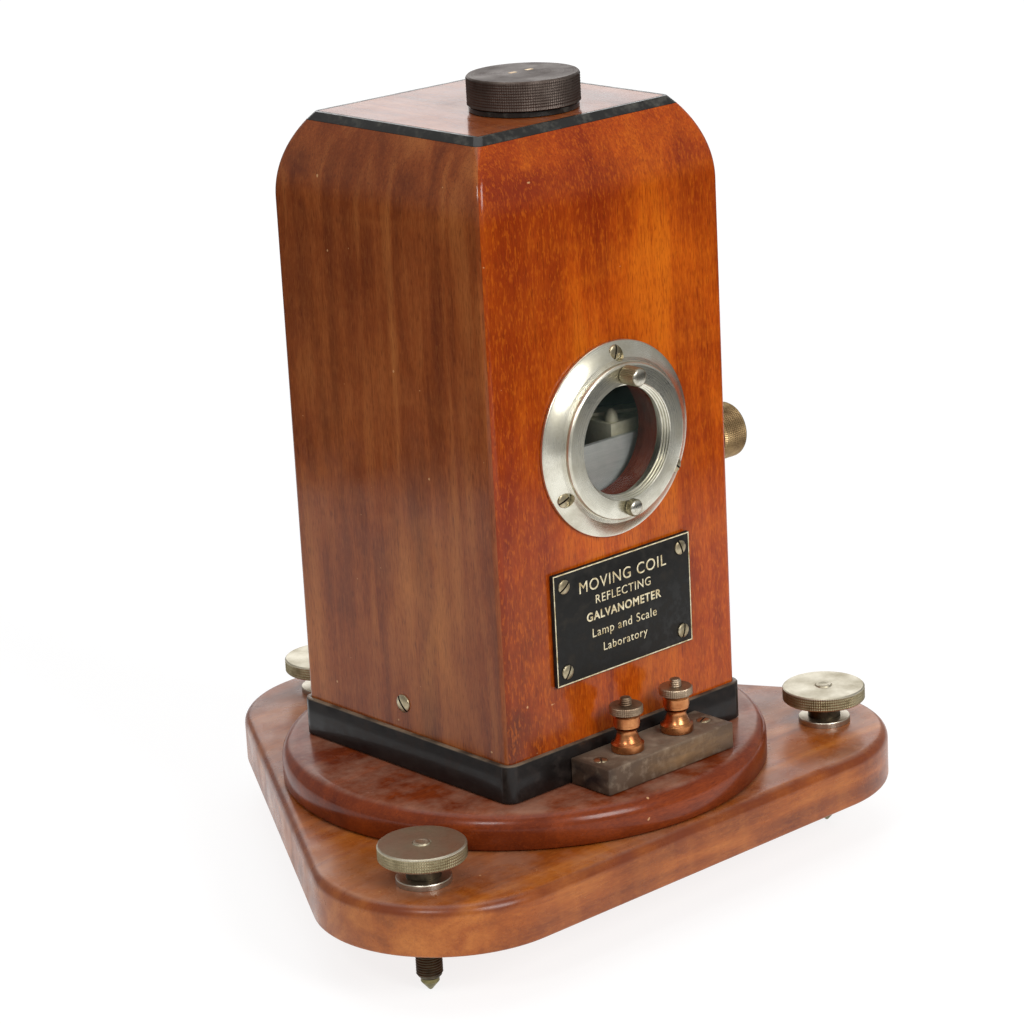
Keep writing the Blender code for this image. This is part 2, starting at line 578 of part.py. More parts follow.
# ---- window ------------------------------------------------------------------
def make_window(case_front):
    centre = (0, FRONT_FACE, WINDOW_Z)
    bezel_profile = [
        (BEZEL_BORE, GAP), (BEZEL_RADIUS, GAP), (BEZEL_RADIUS, BEZEL_RIM - 0.4 * MM),
        (BEZEL_RADIUS - 0.5 * MM, BEZEL_RIM), (BEZEL_SLOPE_TOP, BEZEL_THICKNESS),
        (BEZEL_BORE, BEZEL_THICKNESS),
    ]
    bezel = turned("window_bezel", bezel_profile, NICKEL, centre, MEDIUM_ROUND, closed=True, facing="front")
    slope = (BEZEL_THICKNESS - BEZEL_RIM) / (BEZEL_RADIUS - 0.5 * MM - BEZEL_SLOPE_TOP)
    seat = BEZEL_RIM + slope * (BEZEL_RADIUS - 0.5 * MM - BEZEL_SCREW_CIRCLE - SCREW_HEAD_RADIUS / 2)
    pocket_start = seat - 0.8 * MM
    pocket_end = BEZEL_THICKNESS + 1 * MM
    for number, direction in enumerate((90, 210, 330), start=1):
        angle = math.radians(direction)
        x = BEZEL_SCREW_CIRCLE * math.cos(angle)
        z = WINDOW_Z + BEZEL_SCREW_CIRCLE * math.sin(angle)
        pocket = SCREW_HEAD_RADIUS + GAP
        drill(bezel, (x, FRONT_FACE, z), pocket, pocket_start, pocket_end, "front", TINY_ROUND)
        place = (x, FRONT_FACE - pocket_start, z)
        hosts = ((bezel, BEZEL_THICKNESS), (case_front, SCREW_LENGTH + 0.5 * MM))
        make_screw("bezel_screw_%d" % number, place, "front", SCREW_HEAD_RADIUS, SCREW_LENGTH, hosts, NICKEL)
    spigot = BEZEL_BORE - RUNNING_GAP
    seat_radius = CELL_OPENING + LENS_SEAT_WIDTH
    back = 2 * GAP
    lens_front = back + GAP + LENS_THICKNESS
    lip = lens_front + GAP
    ring_back = BEZEL_THICKNESS + GAP
    cell_profile = [
        (CELL_OPENING, lip), (CELL_OPENING, CELL_STAND_OUT - 0.4 * MM),
        (CELL_OPENING + 0.4 * MM, CELL_STAND_OUT), (CELL_RADIUS - 0.6 * MM, CELL_STAND_OUT),
        (CELL_RADIUS, CELL_STAND_OUT - 0.6 * MM), (CELL_RADIUS, ring_back), (spigot, ring_back),
        (spigot, back), (seat_radius, back), (seat_radius, lip),
    ]
    turned("lens_cell", cell_profile, NICKEL, centre, MEDIUM_ROUND, closed=True, facing="front")
    rim = seat_radius - GAP
    lens_back = back + GAP
    lens_profile = [
        (0, lens_back), (rim, lens_back), (rim, lens_front - 0.4 * MM),
        (0.6 * rim, lens_front - 0.1 * MM), (0, lens_front),
    ]
    turned("window_lens", lens_profile, GLASS, centre, MEDIUM_ROUND, facing="front")
    foot = CELL_STAND_OUT + GAP
    end = CELL_STAND_OUT + CELL_STUD_LENGTH
    dome = 0.35 * CELL_STUD_RADIUS
    stud_profile = [
        (0, foot), (CELL_STUD_RADIUS, foot), (CELL_STUD_RADIUS, end - dome),
        (0.75 * CELL_STUD_RADIUS, end - 0.35 * dome), (0, end),
    ]
    for label, up in (("upper", 1), ("lower", -1)):
        z = WINDOW_Z + up * CELL_STUD_CIRCLE
        turned("cell_stud_" + label, stud_profile, NICKEL, (0, FRONT_FACE, z), SMALL_ROUND, facing="front")


def make_name_plate(case_front):
    half_x = NAME_PLATE_WIDTH / 2
    half_z = NAME_PLATE_HEIGHT / 2
    thick = NAME_PLATE_THICKNESS + GAP
    place = (0, FRONT_FACE, NAME_PLATE_Z)
    low = (-half_x, -thick, -half_z)
    plate = box("name_plate", low, (half_x, -GAP, half_z), BLACK_ENAMEL, location=place)
    face = FRONT_FACE - thick
    signs = ((-1, 1), (1, 1), (1, -1), (-1, -1))
    for number, (sx, sz) in enumerate(signs, start=1):
        x = sx * (half_x - NAME_PLATE_SCREW_INSET)
        z = NAME_PLATE_Z + sz * (half_z - NAME_PLATE_SCREW_INSET)
        hosts = ((plate, thick + GAP), (case_front, SCREW_LENGTH + 0.5 * MM))
        name = "name_plate_screw_%d" % number
        make_screw(name, (x, face, z), "front", SCREW_HEAD_RADIUS, SCREW_LENGTH, hosts)


# ---- terminals ---------------------------------------------------------------
def make_terminals():
    half = BLOCK_WIDTH / 2
    low = (BLOCK_OFFSET - half, BLOCK_BACK - BLOCK_DEPTH, BLOCK_BOTTOM)
    high = (BLOCK_OFFSET + half, BLOCK_BACK, BLOCK_TOP)
    block = box("terminal_block", low, high, EBONITE, 0.4 * MM)
    for label, sign in (("left", -1), ("right", 1)):
        x = BLOCK_OFFSET + sign * BLOCK_SCREW_SPACING / 2
        hosts = ((block, SCREW_LENGTH + 0.5 * MM),)
        name = "block_screw_" + label
        place = (x, BLOCK_MIDDLE_Y, BLOCK_TOP)
        make_screw(name, place, "up", SCREW_HEAD_RADIUS, SCREW_LENGTH, hosts)
        x = BLOCK_OFFSET + sign * TERMINAL_SPACING / 2
        make_terminal(label, (x, BLOCK_MIDDLE_Y, BLOCK_TOP), block)


def make_terminal(label, place, block):
    """A post through the block, with a clamping collar and a nut above it."""
    stud = POST_STUD_RADIUS
    bore = stud + RUNNING_GAP
    collar_low = POST_HEIGHT + 0.5 * MM
    collar_high = collar_low + TERMINAL_COLLAR_HEIGHT
    nut_low = collar_high + GAP
    nut_high = nut_low + TERMINAL_NUT_HEIGHT
    stud_top = nut_high + POST_STUD_SHOWING
    skirt = POST_RADIUS
    neck = 0.55 * POST_RADIUS
    post = [
        (0, -BLOCK_HEIGHT), (stud, -BLOCK_HEIGHT), (stud, GAP), (skirt, GAP), (skirt, 0.38 * POST_HEIGHT),
        (0.8 * skirt, 0.5 * POST_HEIGHT), (neck, 0.9 * POST_HEIGHT), (0.7 * skirt, POST_HEIGHT),
        (stud, POST_HEIGHT), (stud, stud_top - 0.5 * MM), (stud - 0.5 * MM, stud_top), (0, stud_top),
    ]
    turned("terminal_post_" + label, post, COPPER, place, SMALL_ROUND)
    drill(block, place, stud + GAP, -BLOCK_HEIGHT - 1 * MM, 1 * MM, segments=TINY_ROUND)
    outer = TERMINAL_COLLAR_RADIUS
    collar = [
        (bore, collar_low), (outer, collar_low), (outer, collar_high - 0.8 * MM),
        (outer - 0.6 * MM, collar_high), (bore, collar_high),
    ]
    turned("terminal_collar_" + label, collar, COPPER, place, SMALL_ROUND, closed=True)
    outer = TERMINAL_NUT_RADIUS
    nut = [
        (bore, nut_low), (outer - 0.3 * MM, nut_low), (outer, nut_low + 0.3 * MM),
        (outer, nut_high - 0.4 * MM), (outer - 0.4 * MM, nut_high), (bore, nut_high),
    ]
    turned("terminal_nut_" + label, nut, BRONZE, place, SMALL_ROUND, closed=True)


# ---- torsion head ------------------------------------------------------------
def make_torsion_head():
    place = (0, COIL_Y, 0)
    shank_end = CASE_TOP - TOP_BOARD_THICKNESS - 2 * MM
    top = COLLAR_BOTTOM + COLLAR_THICKNESS
    collar = [
        (COLLAR_BORE, shank_end), (COLLAR_SHANK, shank_end), (COLLAR_SHANK, COLLAR_BOTTOM),
        (COLLAR_RADIUS, COLLAR_BOTTOM), (COLLAR_RADIUS, top), (COLLAR_BORE, top),
    ]
    turned("torsion_collar", collar, EBONITE, place, MEDIUM_ROUND, closed=True)
    radius = HEAD_SPINDLE_RADIUS
    head = [
        (0, SPINDLE_END), (radius - 1 * MM, SPINDLE_END), (radius - 1 * MM, SPINDLE_END + 4 * MM),
        (radius, SPINDLE_END + 4 * MM), (radius, HEAD_BOTTOM), (HEAD_BOTTOM_RADIUS, HEAD_BOTTOM),
        (HEAD_BOTTOM_RADIUS, HEAD_BOTTOM + 1.5 * MM), (HEAD_TOP_RADIUS, HEAD_TOP - 0.8 * MM),
        (HEAD_TOP_RADIUS - 0.8 * MM, HEAD_TOP), (0, HEAD_TOP),
    ]
    turned("torsion_head", head, BRONZE, place, MEDIUM_ROUND)


# ---- movement ----------------------------------------------------------------
def make_moving_coil():
    """The coil and its stem, hung on the coil's axis, with the button that the fork lifts."""
    axis = (0, COIL_Y, 0)
    half = COIL_WIDTH / 2
    thick = COIL_THICKNESS / 2
    coil = box("moving_coil", (-half, -thick, COIL_BOTTOM), (half, thick, COIL_TOP), COPPER, location=axis)
    window = box(
        "coil_window", (-half + COIL_BAR, -2 * thick, COIL_BOTTOM + COIL_BAR),
        (half - COIL_BAR, 2 * thick, COIL_TOP - COIL_BAR), COPPER, location=axis,
    )
    boolean(coil, window)
    stem = COIL_STEM_RADIUS
    button = 3 * COIL_STEM_RADIUS
    profile = [
        (0, COIL_TOP - COIL_BAR / 2), (stem, COIL_TOP - COIL_BAR / 2), (stem, BUTTON_BOTTOM),
        (button, BUTTON_BOTTOM), (button, BUTTON_TOP), (stem, BUTTON_TOP),
        (stem, STEM_TOP), (0, STEM_TOP),
    ]
    boolean(coil, turned("coil_stem", profile, COPPER, axis, TINY_ROUND), "UNION")
    back = -stem - GAP
    mirror_profile = [(0, 0), (MIRROR_RADIUS, 0), (MIRROR_RADIUS, MIRROR_THICKNESS), (0, MIRROR_THICKNESS)]
    mirror_at = (0, COIL_Y + back, MIRROR_Z)
    turned("mirror", mirror_profile, SILVERED, mirror_at, SMALL_ROUND, facing="front")
    wide = SUSPENSION_WIDTH / 2
    thin = SUSPENSION_THICKNESS / 2
    strips = (
        ("upper_suspension", STEM_TOP + GAP, SPINDLE_END - GAP),
        ("lower_suspension", COIL_BOTTOM - LIGAMENT_LENGTH, COIL_BOTTOM - GAP),
    )
    for name, low, high in strips:
        box(name, (-wide, -thin, low), (wide, thin, high), BRASS, location=axis)


def make_magnet():
    bore = math.hypot(COIL_WIDTH / 2, COIL_THICKNESS / 2) + AIR_GAP
    front = COIL_Y - POLE_FORWARD
    back = COIL_Y + POLE_REACH
    tall = POLE_TOP - POLE_BOTTOM + 2 * MM
    for label, sign in (("left", -1), ("right", 1)):
        xs = sorted((sign * POLE_INNER_X, sign * POLE_OUTER_X))
        pole = box(label + "_pole", (xs[0], front, POLE_BOTTOM), (xs[1], back, POLE_TOP), IRON)
        drill(pole, (0, COIL_Y, POLE_TOP + 1 * MM), bore, -tall, 0, segments=MEDIUM_ROUND)
    magnet_front = back + GAP
    magnet_back = magnet_front + MAGNET_DEPTH
    low = (-POLE_OUTER_X, magnet_front, POLE_BOTTOM)
    box("magnet_bar", low, (POLE_OUTER_X, magnet_back, POLE_TOP), IRON, 1 * MM)
    core_radius = COIL_WIDTH / 2 - COIL_BAR - CORE_GAP
    core_low = COIL_BOTTOM + COIL_BAR + CORE_GAP
    core_high = COIL_TOP - COIL_BAR - CORE_GAP
    profile = [(0, core_low), (core_radius, core_low), (core_radius, core_high), (0, core_high)]
    core = turned("iron_core", profile, IRON, (0, COIL_Y, 0), SMALL_ROUND)
    reach = POLE_REACH
    pin_profile = [(0, -reach), (CORE_PIN_RADIUS, -reach), (CORE_PIN_RADIUS, 0), (0, 0)]
    middle = (0, COIL_Y, (core_low + core_high) / 2)
    boolean(core, turned("core_pin", pin_profile, IRON, middle, TINY_ROUND, facing="front"), "UNION")
    plate_low = POLE_BOTTOM - FRONT_PLATE_DROP
    plate_back = front - GAP
    box(
        "front_plate", (-FRONT_PLATE_HALF_WIDTH, plate_back - FRONT_PLATE_THICKNESS, plate_low),
        (FRONT_PLATE_HALF_WIDTH, plate_back, POLE_TOP + FRONT_PLATE_OVERLAP), ALUMINIUM, 0.3 * MM,
    )
    make_bracket(magnet_back + GAP)


def make_bracket(upright_front):
    foot_low = INNER_BLOCK_TOP + GAP
    foot_high = foot_low + BRACKET_PLATE
    foot_front = COIL_Y - 2 * ANCHOR_RADIUS
    foot_back = HALF_DEPTH - CASE_WALL - BRACKET_REAR_CLEARANCE
    upright_back = upright_front + BRACKET_PLATE
    outline = [
        (foot_front, foot_low), (foot_back, foot_low), (foot_back, foot_high),
        (upright_back, foot_high), (upright_back, POLE_TOP), (upright_front, POLE_TOP),
        (upright_front, foot_high), (foot_front, foot_high),
    ]
    half = BRACKET_HALF_WIDTH
    loops = [[(x, y, z) for y, z in outline] for x in (-half, half)]
    bracket = stacked("movement_bracket", loops, BRASS)
    top = COIL_BOTTOM - LIGAMENT_LENGTH - GAP
    middle = (foot_low + foot_high) / 2
    post = [(0, middle), (ANCHOR_RADIUS, middle), (ANCHOR_RADIUS, top - 3 * MM), (1 * MM, top), (0, top)]
    boolean(bracket, turned("lower_anchor", post, BRASS, (0, COIL_Y, 0), TINY_ROUND), "UNION")


def make_arrest():
    """Knob, spindle and cam on the right, which lift the fork under the coil's button."""
    face = HALF_WIDTH
    place = (0, ARREST_Y, ARREST_Z)
    flange = ARREST_BUSH_FLANGE_RADIUS
    flange_top = face + GAP + ARREST_BUSH_FLANGE_THICKNESS
    bush = [
        (ARREST_BUSH_BORE, face - CASE_WALL), (ARREST_BUSH_RADIUS, face - CASE_WALL),
        (ARREST_BUSH_RADIUS, face + GAP), (flange, face + GAP), (flange, flange_top - 0.5 * MM),
        (flange - 0.5 * MM, flange_top), (ARREST_BUSH_BORE, flange_top),
    ]
    turned("arrest_bush", bush, NICKEL, place, SMALL_ROUND, closed=True, facing="right")
    shaft = ARREST_SPINDLE_RADIUS
    knob_low = face + ARREST_KNOB_STAND_OFF
    knob_high = knob_low + ARREST_KNOB_THICKNESS
    hub = 0.6 * ARREST_KNOB_RADIUS
    hub_low = flange_top + GAP
    knob_radius = ARREST_KNOB_RADIUS
    knob = [
        (0, CAM_START + 1 * MM), (shaft, CAM_START + 1 * MM), (shaft, hub_low), (hub, hub_low),
        (hub, knob_low), (knob_radius - 0.8 * MM, knob_low), (knob_radius, knob_low + 0.8 * MM),
        (knob_radius, knob_high - 1.2 * MM), (knob_radius - 1.2 * MM, knob_high), (0, knob_high),
    ]
    knob_piece = turned("arrest_knob", knob, BRONZE, place, MEDIUM_ROUND, facing="right")
    cam_end = CAM_START + CAM_WIDTH
    cam = [(0, CAM_START), (CAM_RADIUS, CAM_START), (CAM_RADIUS, cam_end), (0, cam_end)]
    cam_at = (0, ARREST_Y, ARREST_Z - CAM_THROW)
    boolean(knob_piece, turned("arrest_cam", cam, BRONZE, cam_at, SMALL_ROUND, facing="right"), "UNION")
    make_clamp()


def make_clamp():
    front = COIL_Y - POLE_FORWARD
    block_right = LEG_X + CAM_WIDTH
    low = (CLAMP_BLOCK_INNER_X, front, CLAMP_BLOCK_BOTTOM)
    high = (block_right, front + CLAMP_BLOCK_DEPTH, CLAMP_BLOCK_TOP)
    block = box("clamp_block", low, high, NICKEL)
    radius = CLAMP_DOME_RADIUS
    dome_x = CLAMP_BLOCK_INNER_X + radius + CLAMP_DOME_INSET
    dome_y = front + radius + CLAMP_DOME_INSET
    base = CLAMP_BLOCK_TOP - 1 * MM
    tall = CLAMP_DOME_HEIGHT
    rise = [(radius * math.cos(a), CLAMP_BLOCK_TOP + tall * math.sin(a)) for a in (0.4, 0.8, 1.2)]
    dome = [(0, base), (radius, base), (radius, CLAMP_BLOCK_TOP)] + rise + [(0, CLAMP_BLOCK_TOP + tall)]
    boolean(block, turned("clamp_dome", dome, NICKEL, (dome_x, dome_y, 0), TINY_ROUND), "UNION")
    leg_hole = FORK_LEG_RADIUS + RUNNING_GAP
    drill(block, (LEG_X, ARREST_Y, CLAMP_BLOCK_TOP), leg_hole, -CLAMP_BLOCK_HEIGHT - 1 * MM, 1 * MM)
    start = Vector((LEG_X, ARREST_Y))
    end = Vector((0.0, COIL_Y))
    run = (end - start).normalized()
    heading = math.degrees(math.atan2(run.y, run.x))
    half = FORK_WIDTH / 2
    outline = arc(start, half, heading + 90, heading + 270, 6)
    outline += arc(end, half, heading - 90, heading + 90, 6)
    fork = extruded("clamp_fork", outline, FORK_BOTTOM, FORK_TOP, NICKEL)
    slot_half = FORK_SLOT_HALF_WIDTH
    slot = box(
        "fork_slot", (0, -slot_half, -FORK_WIDTH), (FORK_WIDTH, slot_half, FORK_WIDTH), NICKEL,
        location=(-slot_half * run.x, COIL_Y - slot_half * run.y, FORK_BOTTOM),
    )
    slot.rotation_euler = (0, 0, math.radians(heading))
    boolean(fork, slot)
    leg_top = FORK_TOP - FORK_THICKNESS / 4
    leg = [(0, LEG_BOTTOM), (FORK_LEG_RADIUS, LEG_BOTTOM), (FORK_LEG_RADIUS, leg_top), (0, leg_top)]
    boolean(fork, turned("fork_leg", leg, NICKEL, (LEG_X, ARREST_Y, 0), TINY_ROUND), "UNION")


# ---- assembly ----------------------------------------------------------------
def make_case_screws(boards, inner):
    z = CASE_BOTTOM + CASE_SCREW_HEIGHT
    for side, x in (("left", -HALF_WIDTH), ("right", HALF_WIDTH)):
        deep = CASE_SCREW_LENGTH + 0.5 * MM
        hosts = ((boards[side], deep), (inner, deep))
        name = "case_screw_" + side
        make_screw(name, (x, 0, z), side, CASE_SCREW_HEAD_RADIUS, CASE_SCREW_LENGTH, hosts)


def build():
    _, inner = make_base()
    for label, x, y in level_places():
        make_levelling_screw(label, x, y)
    boards = make_case()
    make_case_screws(boards, inner)
    make_window(boards["front"])
    make_name_plate(boards["front"])
    make_terminals()
    make_torsion_head()
    make_moving_coil()
    make_magnet()
    make_arrest()
    for piece in bpy.data.objects:
        piece.location.y -= BASE_MIDDLE_Y
    bpy.context.view_layer.update()


build()
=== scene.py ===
"""The looks of a reflecting moving-coil galvanometer: wood, metal, ebonite and enamel.

Metres, +Z up, -Y the window side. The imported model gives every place; this script remakes
what shows as finer pieces, gives every piece its finish, and sets the camera and lights.
"""
import json
import math

import bmesh
import bpy
from mathutils import Matrix, Quaternion, Vector


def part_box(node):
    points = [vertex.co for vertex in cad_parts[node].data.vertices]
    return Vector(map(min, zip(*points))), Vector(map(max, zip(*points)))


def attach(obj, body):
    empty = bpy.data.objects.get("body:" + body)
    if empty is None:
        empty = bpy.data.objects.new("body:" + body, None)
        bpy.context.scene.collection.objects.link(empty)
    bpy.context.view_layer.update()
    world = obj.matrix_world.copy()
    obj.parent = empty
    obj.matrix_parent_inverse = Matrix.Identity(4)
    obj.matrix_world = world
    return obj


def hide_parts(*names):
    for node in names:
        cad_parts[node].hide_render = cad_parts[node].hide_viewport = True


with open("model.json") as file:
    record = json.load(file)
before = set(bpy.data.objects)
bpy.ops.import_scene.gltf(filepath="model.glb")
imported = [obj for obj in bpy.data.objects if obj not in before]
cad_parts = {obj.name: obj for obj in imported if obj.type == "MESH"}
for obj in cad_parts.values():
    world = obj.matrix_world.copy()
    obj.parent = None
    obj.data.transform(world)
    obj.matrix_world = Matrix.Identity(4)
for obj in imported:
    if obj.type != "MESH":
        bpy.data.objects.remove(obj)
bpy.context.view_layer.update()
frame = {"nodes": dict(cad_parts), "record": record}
BODY_OF = {n: body for body, nodes in frame["record"]["behaviour"]["bodies"].items() for n in nodes}

MM = 0.001
TURN = math.tau

# ---- places and sizes read from the frame ----
HALF_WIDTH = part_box("case_right")[1].x
FRONT_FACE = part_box("case_front")[0].y
BACK_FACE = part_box("case_back")[1].y
AXIS_Y = (FRONT_FACE + BACK_FACE) / 2
HALF_DEPTH = (BACK_FACE - FRONT_FACE) / 2
CASE_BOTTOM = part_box("case_left")[0].z
EDGING_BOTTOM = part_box("top_edging")[0].z
CASE_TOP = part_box("top_edging")[1].z
BASE_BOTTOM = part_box("base_board")[0].z
BASE_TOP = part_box("base_board")[1].z
DISC_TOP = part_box("sub_base_disc")[1].z
WINDOW_Z = sum(v.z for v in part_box("window_bezel")) / 2
CORNER_RADIUS = 3.0 * MM
CASE_WALL = 9.5 * MM
SHOULDER_RADIUS = 47.0 * MM
SHOULDER_START = CASE_TOP - 30.9 * MM
PLINTH_TOP = CASE_BOTTOM + 14.5 * MM
LEVELLERS = ("left", "right", "back")


def middle(node):
    low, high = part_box(node)
    return (low + high) / 2


def srgb(red, green, blue):
    """A paint colour of 0 to 255 values as the linear colour that a shader takes."""
    linear = [
        c / 255 / 12.92 if c < 11 else ((c / 255 + 0.055) / 1.055) ** 2.4
        for c in (red, green, blue)
    ]
    return (*linear, 1.0)


def put(name, data):
    """A new object in the scene."""
    obj = bpy.data.objects.new(name, data)
    bpy.context.scene.collection.objects.link(obj)
    return obj


def evaluated(obj):
    """The mesh that an object comes to with its modifiers, or as filled letters."""
    seen = obj.evaluated_get(bpy.context.evaluated_depsgraph_get())
    return bpy.data.meshes.new_from_object(seen)


# ==== finishes ====
class Finish:
    """A material being mixed: its nodes and the shader that they feed."""

    def __init__(self, name, slot, colour, roughness, metallic=0.0, **sockets):
        self.material = bpy.data.materials.new(name)
        self.material.use_nodes = True
        self.material["slot"] = slot
        self.tree = self.material.node_tree
        self.shader = self.tree.nodes["Principled BSDF"]
        self.set("Base Color", colour)
        self.set("Roughness", roughness)
        self.set("Metallic", metallic)
        for socket, value in sockets.items():
            self.set(socket.replace("_", " "), value)
        self.coords = self.tree.nodes.new("ShaderNodeTexCoord").outputs["Object"]

    def feed(self, socket, value):
        if isinstance(value, bpy.types.NodeSocket):
            self.tree.links.new(value, socket)
        else:
            socket.default_value = value

    def set(self, socket, value):
        self.feed(self.shader.inputs[socket], value)

    def node(self, kind, **settings):
        made = self.tree.nodes.new(kind)
        for name, value in settings.items():
            setattr(made, name, value)
        return made

    def stretch(self, scale, turn=(0, 0, 0), place=(0, 0, 0)):
        """Object coordinates moved to a place, turned, and scaled along each axis."""
        location = [-p for p in place]
        rotation = [math.radians(t) for t in turn]
        vector = self.coords
        for socket, value in (("Location", location), ("Rotation", rotation), ("Scale", scale)):
            made = self.node("ShaderNodeMapping", vector_type="POINT")
            self.feed(made.inputs["Vector"], vector)
            made.inputs[socket].default_value = value
            vector = made.outputs[0]
        return vector

    def noise(self, vector, scale=1.0, detail=2.0, roughness=0.5, distortion=0.0):
        made = self.node("ShaderNodeTexNoise")
        self.feed(made.inputs["Vector"], vector)
        made.inputs["Scale"].default_value = scale
        made.inputs["Detail"].default_value = detail
        made.inputs["Roughness"].default_value = roughness
        made.inputs["Distortion"].default_value = distortion
        return made.outputs["Fac"]

    def ramp(self, value, *stops):
        """A colour, or a grey value, read from stops of (position, colour or grey)."""
        made = self.node("ShaderNodeValToRGB")
        self.feed(made.inputs["Fac"], value)
        band = made.color_ramp
        while len(band.elements) < len(stops):
            band.elements.new(1.0)
        for element, (position, colour) in zip(band.elements, stops):
            element.position = position
            element.color = colour if isinstance(colour, tuple) else (colour, colour, colour, 1.0)
        return made.outputs["Color"]

    def mix(self, amount, first, second):
        made = self.node("ShaderNodeMix", data_type="RGBA", blend_type="MIX")
        self.feed(made.inputs[0], amount)
        self.feed(made.inputs[6], first)
        self.feed(made.inputs[7], second)
        return made.outputs[2]

    def veil(self, colour, tint, value, *stops):
        """A tint laid over a colour by as much as the stops give for a value."""
        return self.mix(self.ramp(value, *stops), colour, tint)

    def sum(self, operation, first, second):
        made = self.node("ShaderNodeMath", operation=operation)
        self.feed(made.inputs[0], first)
        self.feed(made.inputs[1], second)
        return made.outputs[0]

    def spot(self, place, size, strength):
        """A soft patch, strongest at its place and 0 at its edge, with a ragged outline."""
        vector = self.stretch([1 / s for s in size], place=place)
        made = self.node("ShaderNodeTexGradient", gradient_type="SPHERICAL")
        self.feed(made.inputs["Vector"], vector)
        rough = self.noise(vector, 2.2, 5.0, 0.6)
        ragged = self.ramp(rough, (0.5 - RAGGED / 4, 0.0), (0.5 + RAGGED / 4, 1.0))
        patch = self.sum("MULTIPLY", made.outputs["Fac"], ragged)
        return self.sum("MULTIPLY", patch, strength)

    def height_band(self, low, high):
        """0 below one height and 1 above the other."""
        split = self.node("ShaderNodeSeparateXYZ")
        self.feed(split.inputs[0], self.coords)
        made = self.node("ShaderNodeMapRange", interpolation_type="SMOOTHSTEP")
        self.feed(made.inputs["Value"], split.outputs["Z"])
        made.inputs["From Min"].default_value = low
        made.inputs["From Max"].default_value = high
        return made.outputs[0]

    def bump(self, height, strength, distance, after=None):
        made = self.node("ShaderNodeBump")
        made.inputs["Strength"].default_value = strength
        made.inputs["Distance"].default_value = distance
        self.feed(made.inputs["Height"], height)
        if after is not None:
            self.feed(made.inputs["Normal"], after)
        self.set("Normal", made.outputs[0])
        return made.outputs[0]


# Grain that runs along Z is turned by these angles to run along the axis named.
GRAIN = {"z": (0, 0, 0), "x": (0, 90, 0), "y": (90, 0, 0), "diagonal": (0, 90, 38)}
RAGGED = 0.9
BARE_WOOD = srgb(206, 160, 110)
RUBBED_RIM = srgb(104, 44, 18)
WOOD_DUST = srgb(164, 128, 108)
LEDGE_DUST = srgb(132, 112, 92)


